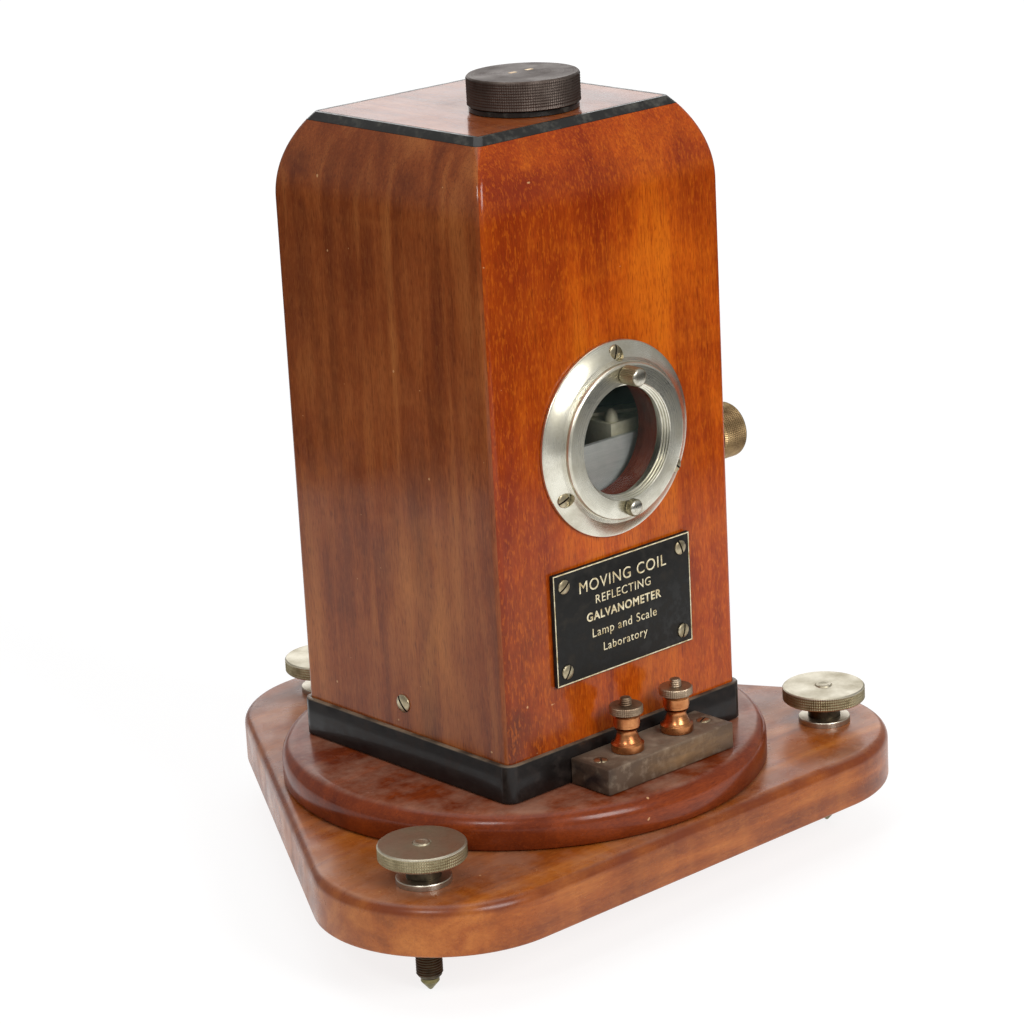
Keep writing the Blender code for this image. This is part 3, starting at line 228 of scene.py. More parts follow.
def polished_wood(
    name, slot, dark, mid, light, grain="z", patches=(), stain=0.5, seed=0.0, coat=0.5, pore=0.45,
    ripple=0.3, streak=0.3, flame=0.3, dust=None, gloss=(0.09, 0.24), rim=None,
):
    """French-polished mahogany: bands, streaks and open pores along the grain, clouded by age.

    Stain, pore, ripple, streak and flame are how much of each shows. Dust is a height and an
    amount, and rim the height of a rubbed upper edge.
    """
    wood = Finish(name, slot, mid, 0.5, Coat_Weight=coat, Coat_Roughness=0.1, Specular_IOR_Level=0.03)
    place = (seed, seed * 0.7, seed * 1.3)

    def layer(across, along, detail, roughness=0.5, distortion=0.0):
        """Noise with one scale across the grain and another along it."""
        vector = wood.stretch((across, across, along), GRAIN[grain], place)
        return wood.noise(vector, 1.0, detail, roughness, distortion)

    bands = layer(70, 6, 3.0, distortion=0.9)
    streaks = layer(620, 34, 5.0, 0.65, 0.4)
    figure = layer(24, 10, 4.0, distortion=1.6)
    tone = wood.mix(streak, bands, streaks)
    tone = wood.mix(0.35, tone, figure)
    colour = wood.ramp(tone, (0.36, dark), (0.5, mid), (0.64, light))
    waves = layer(22, 90, 3.0, distortion=0.6)
    colour = wood.veil(colour, light, waves, (0.48, 0.0), (0.74, ripple))
    clouds = layer(13, 8, 5.0, 0.6)
    colour = wood.veil(colour, dark, clouds, (0.46, 0.0), (0.7, stain))
    for patch_place, size, tint, strength in patches:
        colour = wood.mix(wood.spot(patch_place, size, strength), colour, tint)
    pores = layer(3400, 240, 1.0, 0.4)
    pore_mask = wood.ramp(pores, (0.54, 0.0), (0.7, pore))
    deep = tuple(c * 0.45 for c in dark[:3]) + (1.0,)
    colour = wood.mix(pore_mask, colour, deep)
    long_pores = layer(2100, 60, 2.0)
    colour = wood.veil(colour, deep, long_pores, (0.58, 0.0), (0.72, pore * 0.8))
    flecks = layer(1250, 330, 2.0, 0.6, 0.5)
    colour = wood.veil(colour, light, flecks, (0.52, 0.0), (0.68, flame))
    colour = wood.veil(colour, dark, flecks, (0.32, flame), (0.46, 0.0))
    knocks = wood.noise(wood.coords, 430.0, 0.0)
    colour = wood.veil(colour, BARE_WOOD, knocks, (0.875, 0.0), (0.9, 0.7))
    if rim:
        wear_dust_and_painted_light = wood.ramp(wood.noise(wood.coords, 70.0, 5.0), (0.34, 0.3), (0.6, 0.85))
        above = wood.height_band(rim - 4.6 * MM, rim - 2.6 * MM)
        past = wood.height_band(rim - 0.5 * MM, rim)
        rubbed = wood.sum("SUBTRACT", above, past)
        colour = wood.mix(wood.sum("MULTIPLY", rubbed, wear_dust_and_painted_light), colour, RUBBED_RIM)
    if dust:
        level, amount = dust
        film = wood.noise(wood.coords, 38.0, 7.0, 0.68)
        settled = wood.height_band(level - 1.2 * MM, level - 0.1 * MM)
        film = wood.sum("MULTIPLY", settled, wood.ramp(film, (0.4, 0.0), (0.64, amount)))
        colour = wood.mix(film, colour, WOOD_DUST)
    wood.set("Base Color", colour)
    wear = wood.noise(wood.coords, 55.0, 6.0, 0.65)
    wood.set("Roughness", wood.ramp(wear, (0.35, 0.42), (0.7, 0.6)))
    wood.set("Coat Roughness", wood.ramp(wear, (0.35, gloss[0]), (0.72, gloss[1])))
    wood.bump(pore_mask, 0.12, -0.1 * MM)
    return wood


def turned_metal(
    name, slot, colour, tarnish, place, axis="z", roughness=0.3, spread=0.5, lines=0.25, fine=5200.0,
):
    """Metal finished on a lathe: fine rings about its axis, and tarnish in cloudy patches."""
    metal = Finish(name, slot, colour, roughness, 1.0)
    flat = {"z": (1, 1, 0), "y": (1, 0, 1), "x": (0, 1, 1)}[axis]
    away = metal.node("ShaderNodeVectorMath", operation="LENGTH")
    metal.feed(away.inputs[0], metal.stretch(flat, place=place))
    rings = metal.node("ShaderNodeTexNoise", noise_dimensions="1D")
    metal.feed(rings.inputs["W"], away.outputs["Value"])
    rings.inputs["Scale"].default_value = fine
    rings.inputs["Detail"].default_value = 3.0
    clouds = metal.noise(metal.coords, 90.0, 4.0, 0.55)
    specks = metal.noise(metal.coords, 900.0, 3.0, 0.6)
    mottle = metal.mix(0.2, clouds, specks)
    patchy = metal.ramp(mottle, (0.5 - spread / 4, colour), (0.5 + spread / 3, tarnish))
    metal.set("Base Color", patchy)
    grit = metal.mix(0.5, rings.outputs["Fac"], clouds)
    dull = min(1.0, roughness * 1.5)
    metal.set("Roughness", metal.ramp(grit, (0.3, roughness * 0.75), (0.7, dull)))
    after = metal.bump(rings.outputs["Fac"], lines, 0.02 * MM)
    metal.bump(specks, 0.06, 0.02 * MM, after)
    return metal


def plain_metal(name, slot, colour, tarnish, roughness=0.4, grain=(240, 240, 240)):
    """Filed or cast metal with scratches along its grain and patches of tarnish."""
    metal = Finish(name, slot, colour, roughness, 1.0)
    scratches = metal.noise(metal.stretch(grain), 1.0, 6.0, 0.7)
    clouds = metal.noise(metal.coords, 160.0, 5.0, 0.6)
    mottle = metal.mix(0.5, scratches, clouds)
    metal.set("Base Color", metal.ramp(mottle, (0.4, colour), (0.66, tarnish)))
    dull = min(1.0, roughness * 1.4)
    metal.set("Roughness", metal.ramp(mottle, (0.35, roughness * 0.8), (0.7, dull)))
    metal.bump(scratches, 0.2, 0.03 * MM)
    return metal


def black_finish(name, slot, colour, roughness, dust_colour, dust, coat=0.0, wear_dust_and_painted_light=(), ledge=None):
    """Ebonised wood, enamel or ebonite, with grime, spots of dust, painted sheen and painted shade, and
    dust along a ledge.
    """
    black = Finish(
        name, slot, colour, roughness, Coat_Weight=coat, Coat_Roughness=0.12, Specular_IOR_Level=0.25,
    )
    grime = black.noise(black.coords, 210.0, 7.0, 0.66)
    tint = black.veil(colour, dust_colour, grime, (0.5, 0.0), (0.74, dust))
    # Spots of dust, painted sheen or painted shade, each given with its own tint.
    for spot_centre, size, paint, strength in wear_dust_and_painted_light:
        tint = black.mix(black.spot(spot_centre, size, strength), tint, paint)
    if ledge:
        patchy = black.ramp(black.noise(black.coords, 90.0, 5.0), (0.36, 0.15), (0.62, 0.85))
        settled = black.sum("MULTIPLY", black.height_band(ledge - 0.6 * MM, ledge), patchy)
        tint = black.mix(settled, tint, LEDGE_DUST)
    black.set("Base Color", tint)
    dull = min(1.0, roughness * 1.7)
    black.set("Roughness", black.ramp(grime, (0.4, roughness * 0.8), (0.7, dull)))
    grain = black.noise(black.coords, 700.0, 4.0)
    black.bump(grain, 0.12, 0.05 * MM)
    return black


# ==== shapes ====
FACING = {
    "up": Matrix.Identity(4),
    "front": Matrix.Rotation(math.radians(90), 4, "X"),
    "right": Matrix.Rotation(math.radians(90), 4, "Y"),
    "left": Matrix.Rotation(math.radians(-90), 4, "Y"),
}


def placed(bm, place, facing="up"):
    bm.transform(Matrix.Translation(place) @ FACING[facing])
    return bm


def in_mm(*points, above=0.0):
    """Profile points given in millimetres above a height."""
    return [(radius * MM, above + height * MM) for radius, height in points]


def lathe(profile, steps=96, closed=False):
    """A profile of (radius, height) points turned about Z."""
    bm = bmesh.new()
    verts = [bm.verts.new((radius, 0, height)) for radius, height in profile]
    pairs = list(zip(verts, verts[1:])) + ([(verts[-1], verts[0])] if closed else [])
    edges = [bm.edges.new(pair) for pair in pairs]
    bmesh.ops.spin(
        bm, geom=verts + edges, cent=(0, 0, 0), axis=(0, 0, 1), angle=TURN, steps=steps, use_merge=True,
    )
    bmesh.ops.remove_doubles(bm, verts=bm.verts, dist=1e-7)
    bmesh.ops.recalc_face_normals(bm, faces=bm.faces)
    return bm


def cylinder(radius, low, high, steps=48):
    return lathe([(0, low), (radius, low), (radius, high), (0, high)], steps)


def block(low, high):
    bm = bmesh.new()
    bmesh.ops.create_cube(bm, size=1.0)
    low, high = Vector(low), Vector(high)
    bmesh.ops.scale(bm, verts=bm.verts, vec=high - low)
    bmesh.ops.translate(bm, verts=bm.verts, vec=(low + high) / 2)
    return bm


def soften(bm, width, segments=3, sharper_than=35):
    """Rounds every edge that is sharper than an angle."""
    limit = math.radians(sharper_than)
    edges = [e for e in bm.edges if e.is_manifold and e.calc_face_angle() > limit]
    bmesh.ops.bevel(
        bm, geom=edges, offset=width, affect="EDGES", segments=segments, profile=0.5,
        material=-1, clamp_overlap=True,
    )
    return bm


def joined(*parts):
    """Several shapes as one mesh of separate closed bodies."""
    bm = parts[0]
    for part in parts[1:]:
        scrap = bpy.data.meshes.new("scrap")
        part.to_mesh(scrap)
        part.free()
        bm.from_mesh(scrap)
        bpy.data.meshes.remove(scrap)
    return bm


def flank(radius, low, high, rows):
    """Profile points up a knurled side, a row apart."""
    return [(radius, low + (high - low) * i / rows) for i in range(rows + 1)]


def shoulder(core, low, radius, rise, steps, start=1):
    """Profile points over a quarter round that ends level at its core, or a dome with no core."""
    points = []
    for i in range(start, steps):
        a = math.radians(90 * i / steps)
        points.append((core + radius * math.cos(a), low + rise * math.sin(a)))
    return points + [(core, low + rise)]


def knurled(bm, radius, low, high, rows, steps, depth, straight=False):
    """Presses a crossed or straight knurl into a turned side."""
    slack = 0.02 * MM
    for vert in bm.verts:
        x, y, z = vert.co
        if abs(math.hypot(x, y) - radius) > slack or not low - slack <= z <= high + slack:
            continue
        column = round(math.atan2(y, x) / TURN * steps)
        row = 0 if straight else round((z - low) / (high - low) * rows)
        if column % 2 or (row % 2 and not straight):
            vert.co.x *= 1 - depth / radius
            vert.co.y *= 1 - depth / radius
    return bm


def thread(radius, depth, pitch, low, high):
    """A helical ridge wound up a spindle."""
    steps = 24
    bm = bmesh.new()
    core = radius - depth
    sunk = core - 0.1 * MM
    width = 0.92 * pitch
    outline = [
        (sunk, 0), (core, 0), (radius, 0.42 * pitch), (radius, 0.5 * pitch), (core, width),
        (sunk, width),
    ]
    face = bm.faces.new([bm.verts.new((r, 0, low + h)) for r, h in outline])
    turns = (high - low) / pitch - 1
    count = round(turns * steps)
    bmesh.ops.spin(
        bm, geom=[face, *face.edges, *face.verts], cent=(0, 0, 0), axis=(0, 0, 1),
        dvec=(0, 0, pitch / steps), angle=TURN * count / steps, steps=count,
    )
    bmesh.ops.recalc_face_normals(bm, faces=bm.faces)
    return bm


def carve(obj, tool, inner):
    """Cuts a shape out of an object's mesh, and gives the cut one of the object's finishes."""
    for face in tool.faces:
        face.material_index = inner
    mesh = bpy.data.meshes.new("tool")
    tool.to_mesh(mesh)
    tool.free()
    for finish in obj.data.materials:
        mesh.materials.append(finish)
    cutter = put("tool", mesh)
    cut = obj.modifiers.new("cut", "BOOLEAN")
    cut.object = cutter
    cut.solver = "EXACT"
    done = evaluated(obj)
    obj.modifiers.remove(cut)
    obj.data = done
    bpy.data.objects.remove(cutter)


def piece(name, bm, finish, nodes, place=(0, 0, 0), facing="up", cuts=(), extra=(), creases=32):
    """A finished piece that stands for CAD nodes and rides with them."""
    placed(bm, place, facing)
    mesh = bpy.data.meshes.new(name)
    bm.to_mesh(mesh)
    bm.free()
    for each in (finish, *extra):
        mesh.materials.append(each.material)
    obj = put(name, mesh)
    for tool, inner in cuts:
        carve(obj, tool, inner)
    obj.data.name = name
    obj.data.shade_smooth()
    obj.data.set_sharp_from_angle(angle=math.radians(creases))
    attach(obj, BODY_OF[nodes[0]])
    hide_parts(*nodes)


def repaint(finish, *nodes):
    """Gives CAD nodes that stay a finish."""
    for name in nodes:
        obj = frame["nodes"][name]
        obj.data.materials.clear()
        obj.data.materials.append(finish.material)


# ==== camera and light ====
VIEW_PLACE = Vector((-0.8220, -0.9495, 0.5225))
VIEW_AZIMUTH = -41.58
VIEW_ELEVATION = 17.16
VIEW_ROLL = -3.03
VIEW_LENS = 121.92
BENCH_HALF_WIDTH = 0.57
BENCH_HALF_LENGTH = 0.85
LIT_PLACE = (0, -0.02, 0.15)


def make_camera():
    azimuth = math.radians(VIEW_AZIMUTH)
    elevation = math.radians(VIEW_ELEVATION)
    level = math.cos(elevation)
    back = Vector((math.sin(azimuth) * level, -math.cos(azimuth) * level, math.sin(elevation)))
    camera = put("camera", bpy.data.cameras.new("camera"))
    camera.location = VIEW_PLACE
    camera.rotation_mode = "QUATERNION"
    aim = (-back).to_track_quat("-Z", "Y")
    camera.rotation_quaternion = aim @ Quaternion((0, 0, 1), math.radians(VIEW_ROLL))
    camera.data.lens = VIEW_LENS
    camera.data.sensor_width = 36.0
    camera.data.clip_start = 0.05
    bpy.context.scene.camera = camera


def soft_box(name, place, width, height, power):
    """A rectangular lamp that faces the middle of the instrument."""
    lamp = bpy.data.lights.new(name, "AREA")
    lamp.shape = "RECTANGLE"
    lamp.size = width
    lamp.size_y = height
    lamp.energy = power
    box = put(name, lamp)
    box.location = place
    box.rotation_mode = "QUATERNION"
    aim = Vector(LIT_PLACE) - Vector(place)
    box.rotation_quaternion = aim.to_track_quat("-Z", "Y")


def make_stage():
    """A pale bench, and a room that is white behind it and dim around it."""
    scene = bpy.context.scene
    scene.view_settings.view_transform = "Standard"
    bench = bmesh.new()
    bmesh.ops.create_grid(bench, x_segments=1, y_segments=1, size=1.0)
    bmesh.ops.scale(bench, verts=bench.verts, vec=(BENCH_HALF_WIDTH, BENCH_HALF_LENGTH, 1))
    bench.transform(Matrix.Rotation(math.radians(VIEW_AZIMUTH), 4, "Z"))
    mesh = bpy.data.meshes.new("bench")
    bench.to_mesh(mesh)
    bench.free()
    paper = Finish("bench_paper", "bench", (0.22, 0.22, 0.22, 1.0), 0.9, Specular_IOR_Level=0.0)
    paper.set("Emission Color", (1.0, 1.0, 1.0, 1.0))
    paper.set("Emission Strength", 0.82)
    mesh.materials.append(paper.material)
    put("bench", mesh)
    world = bpy.data.worlds.new("room")
    scene.world = world
    world.use_nodes = True
    tree = world.node_tree
    tree.nodes.clear()
    seen = tree.nodes.new("ShaderNodeLightPath")
    white = tree.nodes.new("ShaderNodeBackground")
    white.inputs["Color"].default_value = (1, 1, 1, 1)
    white.inputs["Strength"].default_value = 1.05
    dim = tree.nodes.new("ShaderNodeBackground")
    dim.inputs["Color"].default_value = (1, 1, 1, 1)
    rise = tree.nodes.new("ShaderNodeMapRange")
    split = tree.nodes.new("ShaderNodeSeparateXYZ")
    way = tree.nodes.new("ShaderNodeTexCoord")
    tree.links.new(way.outputs["Generated"], split.inputs[0])
    tree.links.new(split.outputs["Z"], rise.inputs["Value"])
    rise.inputs["From Min"].default_value = -0.12
    rise.inputs["From Max"].default_value = 0.1
    rise.inputs["To Min"].default_value = 0.04
    rise.inputs["To Max"].default_value = 0.4
    tree.links.new(rise.outputs[0], dim.inputs["Strength"])
    both = tree.nodes.new("ShaderNodeMixShader")
    out = tree.nodes.new("ShaderNodeOutputWorld")
    tree.links.new(seen.outputs["Is Camera Ray"], both.inputs[0])
    tree.links.new(dim.outputs[0], both.inputs[1])
    tree.links.new(white.outputs[0], both.inputs[2])
    tree.links.new(both.outputs[0], out.inputs[0])
    soft_box("key", (-0.1, -1.9, 1.2), 0.8, 0.8, 25)
    soft_box("fill", (-1.4, -0.75, 1.35), 0.26, 0.34, 7.5)
    soft_box("overhead", (0.0, 0.1, 1.7), 1.4, 1.4, 9)
    soft_box("behind", (1.25, 1.55, 0.75), 1.9, 1.0, 8)


make_camera()
make_stage()

# ==== wood ====
RED_DARK = srgb(126, 40, 6)
RED_MID = srgb(180, 76, 10)
RED_LIGHT = srgb(206, 104, 18)
BROWN_DARK = srgb(94, 40, 16)
BROWN_MID = srgb(134, 66, 28)
BROWN_LIGHT = srgb(164, 96, 48)
GOLD = srgb(186, 116, 56)

front_wood = polished_wood(
    "mahogany_front", "mahogany", RED_DARK, RED_MID, RED_LIGHT, stain=0.45, flame=0.36,
    patches=(
        # Painted shade: the top of the front darkened, standing for the dark reflection that the glossy
        # shoulder shows.
        ((-0.03, FRONT_FACE, 0.285), (0.08, 0.05, 0.05), RED_DARK, 1.5),
        ((-0.05, FRONT_FACE, 0.18), (0.038, 0.05, 0.14), RED_DARK, 1.5),
        ((-0.052, FRONT_FACE, 0.09), (0.045, 0.05, 0.08), BROWN_DARK, 1.4),
        ((0.03, FRONT_FACE, 0.235), (0.03, 0.05, 0.05), RED_LIGHT, 0.4),
    ),
)
# Painted shade and sheen: a darker, browner copy of the case mahogany, laid on the left face only.
shaded_left_wood = polished_wood(
    "mahogany_left_shaded", "mahogany", BROWN_DARK, BROWN_MID, BROWN_LIGHT, seed=0.31, stain=0.4,
    streak=0.16, flame=0.2, ripple=0.2,
    patches=(
        ((-HALF_WIDTH, AXIS_Y - 0.018, 0.115), (0.05, 0.028, 0.075), GOLD, 0.8),
        ((-HALF_WIDTH, AXIS_Y + 0.035, 0.20), (0.05, 0.02, 0.09), BROWN_LIGHT, 0.4),
    ),
)
back_wood = polished_wood("mahogany_back", "mahogany", RED_DARK, RED_MID, RED_LIGHT, seed=0.57)
top_wood = polished_wood(
    "mahogany_top", "mahogany", BROWN_DARK, BROWN_MID, BROWN_LIGHT, "y", seed=0.83, coat=0.75,
    streak=0.2, flame=0.15,
)
base_wood = polished_wood(
    "mahogany_base", "mahogany", srgb(104, 44, 8), srgb(150, 76, 22), srgb(184, 110, 46), "x",
    seed=0.12, pore=0.2, coat=0.75, streak=0.2, flame=0.2, dust=(BASE_TOP, 0.36),
    gloss=(0.2, 0.42), rim=BASE_TOP,
)
disc_wood = polished_wood(
    "mahogany_disc", "dark_mahogany", srgb(90, 32, 10), srgb(114, 46, 14), srgb(142, 62, 20),
    "diagonal", seed=0.44, pore=0.3, dust=(DISC_TOP, 0.55), gloss=(0.14, 0.3),
)
raw_wood = polished_wood(
    "mahogany_raw", "mahogany", srgb(92, 36, 24), srgb(128, 54, 36), srgb(156, 76, 50), seed=0.2,
    coat=0.0,
)
inner_wood = polished_wood(
    "mahogany_inside", "dark_mahogany", srgb(40, 18, 10), srgb(60, 28, 16), srgb(84, 42, 24),
    coat=0.0,
)


def rounded_loop(bm, half_x, half_y, radius, z, segments):
    """A level loop of edges with round corners, about the case's upright axis."""
    made = bmesh.ops.create_grid(bm, x_segments=1, y_segments=1, size=1.0)["verts"]
    bmesh.ops.scale(bm, verts=made, vec=(half_x, half_y, 1))
    bmesh.ops.translate(bm, verts=made, vec=(0, AXIS_Y, z))
    corners = bmesh.ops.bevel(
        bm, geom=made, offset=radius, affect="VERTICES", segments=segments, profile=0.5, material=-1,
    )
    edges = {e for v in corners["verts"] for e in v.link_edges}
    faces = {f for v in corners["verts"] for f in v.link_faces}
    bmesh.ops.delete(bm, geom=list(faces), context="FACES_ONLY")
    return [e for e in edges if e.is_valid]


def ring_stack(levels, segments=12):
    """A closed ring; levels of (inset, corner radius, height) give its section, in order."""
    bm = bmesh.new()
    inset, radius, z = levels[0]
    edges = rounded_loop(bm, HALF_WIDTH - inset, HALF_DEPTH - inset, radius, z, segments)
    for one, other in zip(levels, levels[1:] + levels[:1]):
        made = bmesh.ops.extrude_edge_only(bm, edges=edges)["geom"]
        verts = {g for g in made if isinstance(g, bmesh.types.BMVert)}
        edges = list({e for v in verts for e in v.link_edges if e.other_vert(v) in verts})
        for vert in verts:
            vert.co = moved_round(vert.co, one, other)
    bmesh.ops.remove_doubles(bm, verts=bm.verts, dist=1e-6)
    bmesh.ops.recalc_face_normals(bm, faces=bm.faces)
    return bm


def moved_round(spot, one, other):
    """A point of one level's rounded outline, moved to the same point of another level's."""
    place = []
    for value, half in ((spot.x, HALF_WIDTH), (spot.y - AXIS_Y, HALF_DEPTH)):
        side = math.copysign(1, value)
        around = (value - side * (half - one[0] - one[1])) / one[1]
        place.append(side * (half - other[0] - other[1]) + other[1] * around)
    return Vector((place[0], place[1] + AXIS_Y, other[2]))


def shoulder_inset(z):
    rise = max(0.0, z - SHOULDER_START)
    return SHOULDER_RADIUS - math.sqrt(SHOULDER_RADIUS ** 2 - rise ** 2)


def make_case():
    front, left, back, right, inside, raw = range(6)
    top = EDGING_BOTTOM - 0.1 * MM
    steps = 18
    rises = [CASE_BOTTOM, (CASE_BOTTOM + SHOULDER_START) / 2]
    rises += [SHOULDER_START + (top - SHOULDER_START) * i / steps for i in range(steps + 1)]
    outer = [(shoulder_inset(z), CORNER_RADIUS, z) for z in rises]
    wall = CASE_WALL
    sharp = 0.5 * MM
    inner = [(shoulder_inset(z) + wall, sharp, z) for z in reversed(rises)]
    bm = ring_stack(outer + inner, segments=16)
    for face in bm.faces:
        spot = face.calc_center_median() - Vector((0, AXIS_Y, 0))
        outward = face.normal.x * spot.x + face.normal.y * spot.y > 0
        if not outward or abs(face.normal.z) > 0.9:
            face.material_index = inside
        elif abs(face.normal.y) > abs(face.normal.x):
            face.material_index = front if face.normal.y < 0 else back
        else:
            face.material_index = left if face.normal.x < 0 else right
    deep, out = -12 * MM, 2 * MM
    window = placed(cylinder(22 * MM, deep, out, 96), (0, FRONT_FACE, WINDOW_Z), "front")
    bush = middle("arrest_bush")
    bush_hole = placed(cylinder(4.9 * MM, deep, out), (HALF_WIDTH, bush.y, bush.z), "right")
    piece(
        "case_boards", bm, front_wood, ["case_front", "case_left", "case_back", "case_right"],
        cuts=((window, raw), (bush_hole, raw)), creases=40,
        # The left face takes the painted-shade copy of the mahogany; the right face takes the back's.
        extra=(shaded_left_wood, back_wood, back_wood, inner_wood, raw_wood),
    )
    repaint(top_wood, "case_top")
    repaint(inner_wood, "inner_block")


def make_trim():
    low, high = shoulder_inset(EDGING_BOTTOM), shoulder_inset(CASE_TOP)
    round_off = 0.35 * MM
    width = 1.5 * MM
    sharp = 0.5 * MM
    levels = [
        (low + 0.05 * MM, CORNER_RADIUS, EDGING_BOTTOM),
        (high - 0.2 * MM, CORNER_RADIUS, CASE_TOP - round_off),
        (high + 0.15 * MM, CORNER_RADIUS, CASE_TOP), (high + width, sharp, CASE_TOP),
        (high + width, sharp, EDGING_BOTTOM),
    ]
    piece("edging", ring_stack(levels), edging_black, ["top_edging"])
    grown = 1.9 * MM
    top = PLINTH_TOP
    ledge = 0.5 * MM
    overlap = 0.1 * MM
    corner = CORNER_RADIUS + grown
    levels = [
        (-grown + 0.4 * MM, corner, CASE_BOTTOM), (-grown, corner, CASE_BOTTOM + 0.4 * MM),
        (-grown, corner, top - ledge), (-grown + 0.2 * MM, corner, top - 0.15 * MM),
        (-grown + ledge, corner - ledge, top), (-overlap, CORNER_RADIUS, top),
        (-overlap, CORNER_RADIUS, CASE_BOTTOM),
    ]
    piece("plinth", ring_stack(levels), plinth_black, ["plinth_moulding"])


def make_base():
    lobe_radius = 50.1 * MM
    screw_from_lobe = 27.0 * MM
    bm = bmesh.new()
    for label in LEVELLERS:
        screw = middle("levelling_screw_" + label)
        out = Vector((screw.x, screw.y - AXIS_Y))
        lobe = out * (1 - screw_from_lobe / out.length)
        made = bmesh.ops.create_cone(
            bm, cap_ends=True, segments=180, radius1=lobe_radius, radius2=lobe_radius,
            depth=BASE_TOP - BASE_BOTTOM,
        )["verts"]
        place = (lobe.x, lobe.y + AXIS_Y, (BASE_TOP + BASE_BOTTOM) / 2)
        bmesh.ops.translate(bm, verts=made, vec=place)
    hull = bmesh.ops.convex_hull(bm, input=bm.verts)
    kept = {f for f in hull["geom"] if isinstance(f, bmesh.types.BMFace)}
    bmesh.ops.delete(bm, geom=[f for f in bm.faces if f not in kept], context="FACES")
    loose = [v for v in bm.verts if not v.link_faces]
    bmesh.ops.delete(bm, geom=loose, context="VERTS")
    bmesh.ops.dissolve_limit(bm, angle_limit=math.radians(0.5), verts=bm.verts, edges=bm.edges)
    bmesh.ops.recalc_face_normals(bm, faces=bm.faces)
    for height, width, segments in ((BASE_TOP, 4.0 * MM, 8), (BASE_BOTTOM, 1.0 * MM, 3)):
        rim = [
            e for e in bm.edges
            if all(abs(v.co.z - height) < 1e-6 for v in e.verts) and e.calc_face_angle() > 1.0
        ]
        bmesh.ops.bevel(
            bm, geom=rim, offset=width, affect="EDGES", segments=segments, profile=0.5, material=-1,
        )
    holes = []
    for label in LEVELLERS:
        at = middle("levelling_screw_" + label)
        hole = cylinder(7.4 * MM, BASE_BOTTOM - 2 * MM, BASE_TOP + 2 * MM)
        holes.append((placed(hole, (at.x, at.y, 0)), 0))
    piece("base", bm, base_wood, ["base_board"], cuts=holes, creases=40)
    low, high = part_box("sub_base_disc")
    radius = (high.x - low.x) / 2
    rounding = 6.0 * MM
    profile = [(0, low.z), (radius - 0.8 * MM, low.z), (radius, low.z + 0.8 * MM)]
    profile += shoulder(radius - rounding, high.z - rounding, rounding, rounding, 10, start=0)
    profile.append((0, high.z))
    piece("disc", lathe(profile, 240), disc_wood, ["sub_base_disc"], place=(0, AXIS_Y, 0), creases=50)


edging_black = black_finish(
    "edging_black", "black_lacquer", srgb(26, 25, 23), 0.4, srgb(110, 108, 98), 0.4, coat=0.4,
)
plinth_black = black_finish(
    "plinth_black", "black_lacquer", srgb(20, 15, 13), 0.36, srgb(66, 52, 44), 0.3, coat=0.22,
    ledge=PLINTH_TOP,
)
make_case()
make_trim()
make_base()

# ==== metal and ebonite finishes ====
NICKEL = srgb(232, 229, 214)
NICKEL_DULL = srgb(196, 191, 172)
CHAMPAGNE = srgb(212, 205, 186)
CHAMPAGNE_DULL = srgb(172, 162, 136)
BRONZE = srgb(106, 95, 88)
BRONZE_DULL = srgb(74, 62, 56)
BRASS = srgb(204, 166, 96)
BRASS_DULL = srgb(120, 88, 48)
COPPER = srgb(216, 150, 98)
COPPER_DULL = srgb(150, 84, 48)
window_axis = (0, 0, WINDOW_Z)
bezel_metal = turned_metal("bezel_nickel", "nickel", NICKEL, NICKEL_DULL, window_axis, "y", 0.27)
screw_metal = plain_metal("screw_nickel", "worn_nickel", srgb(206, 194, 164), srgb(128, 112, 82), 0.34)
dome_metal = plain_metal("stud_nickel", "nickel", srgb(226, 222, 208), srgb(150, 140, 118), 0.24)
spindle_metal = plain_metal("spindle_metal", "worn_nickel", srgb(96, 86, 70), srgb(46, 40, 32), 0.42)
tip_metal = plain_metal("tip_brass", "brass", srgb(132, 124, 86), srgb(76, 72, 48), 0.36)
knurl_metal = plain_metal("knurl_nickel", "worn_nickel", srgb(176, 164, 132), srgb(122, 110, 80), 0.42)
stud_side = plain_metal("stud_side", "nickel", srgb(176, 168, 142), srgb(120, 112, 90), 0.45)
inner_brass = plain_metal("inner_brass", "brass", BRASS, BRASS_DULL, 0.4)
iron_metal = plain_metal("machined_iron", "iron", srgb(150, 150, 150), srgb(92, 88, 84), 0.45)
plate_metal = plain_metal(
    "satin_plate", "aluminium", srgb(228, 230, 224), srgb(202, 206, 200), 0.62, (40, 40, 900),
)
plate_metal.set("Metallic", 0.35)
clamp_metal = plain_metal("clamp_nickel", "nickel", srgb(238, 234, 206), srgb(196, 190, 158), 0.5)
clamp_metal.set("Metallic", 0.3)
block_low, block_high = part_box("terminal_block")
block_mid = (block_low + block_high) / 2
ebonite = black_finish(
    "ebonite", "ebonite", srgb(84, 66, 52), 0.55, srgb(158, 140, 120), 0.55,
    wear_dust_and_painted_light=(
        # Dust on the top: a lighter grey-brown.
        (
            (block_mid.x, block_mid.y, block_high.z + 4 * MM), (0.05, 0.03, 5.5 * MM),
            srgb(176, 158, 138), 1.6,
        ),
        # Painted sheen: a lighter brown middle on the front face.
        (
            (block_mid.x + 8 * MM, block_low.y, block_mid.z), (0.03, 3 * MM, 7 * MM),
            srgb(150, 116, 78), 1.0,
        ),
        # Painted shade: the left end darkened.
        ((block_low.x, block_mid.y, block_mid.z), (5 * MM, 0.02, 0.012), srgb(34, 26, 24), 1.6),
    ),
)
enamel = black_finish("black_enamel", "black_enamel", srgb(22, 21, 19), 0.5, srgb(72, 66, 58), 0.35)
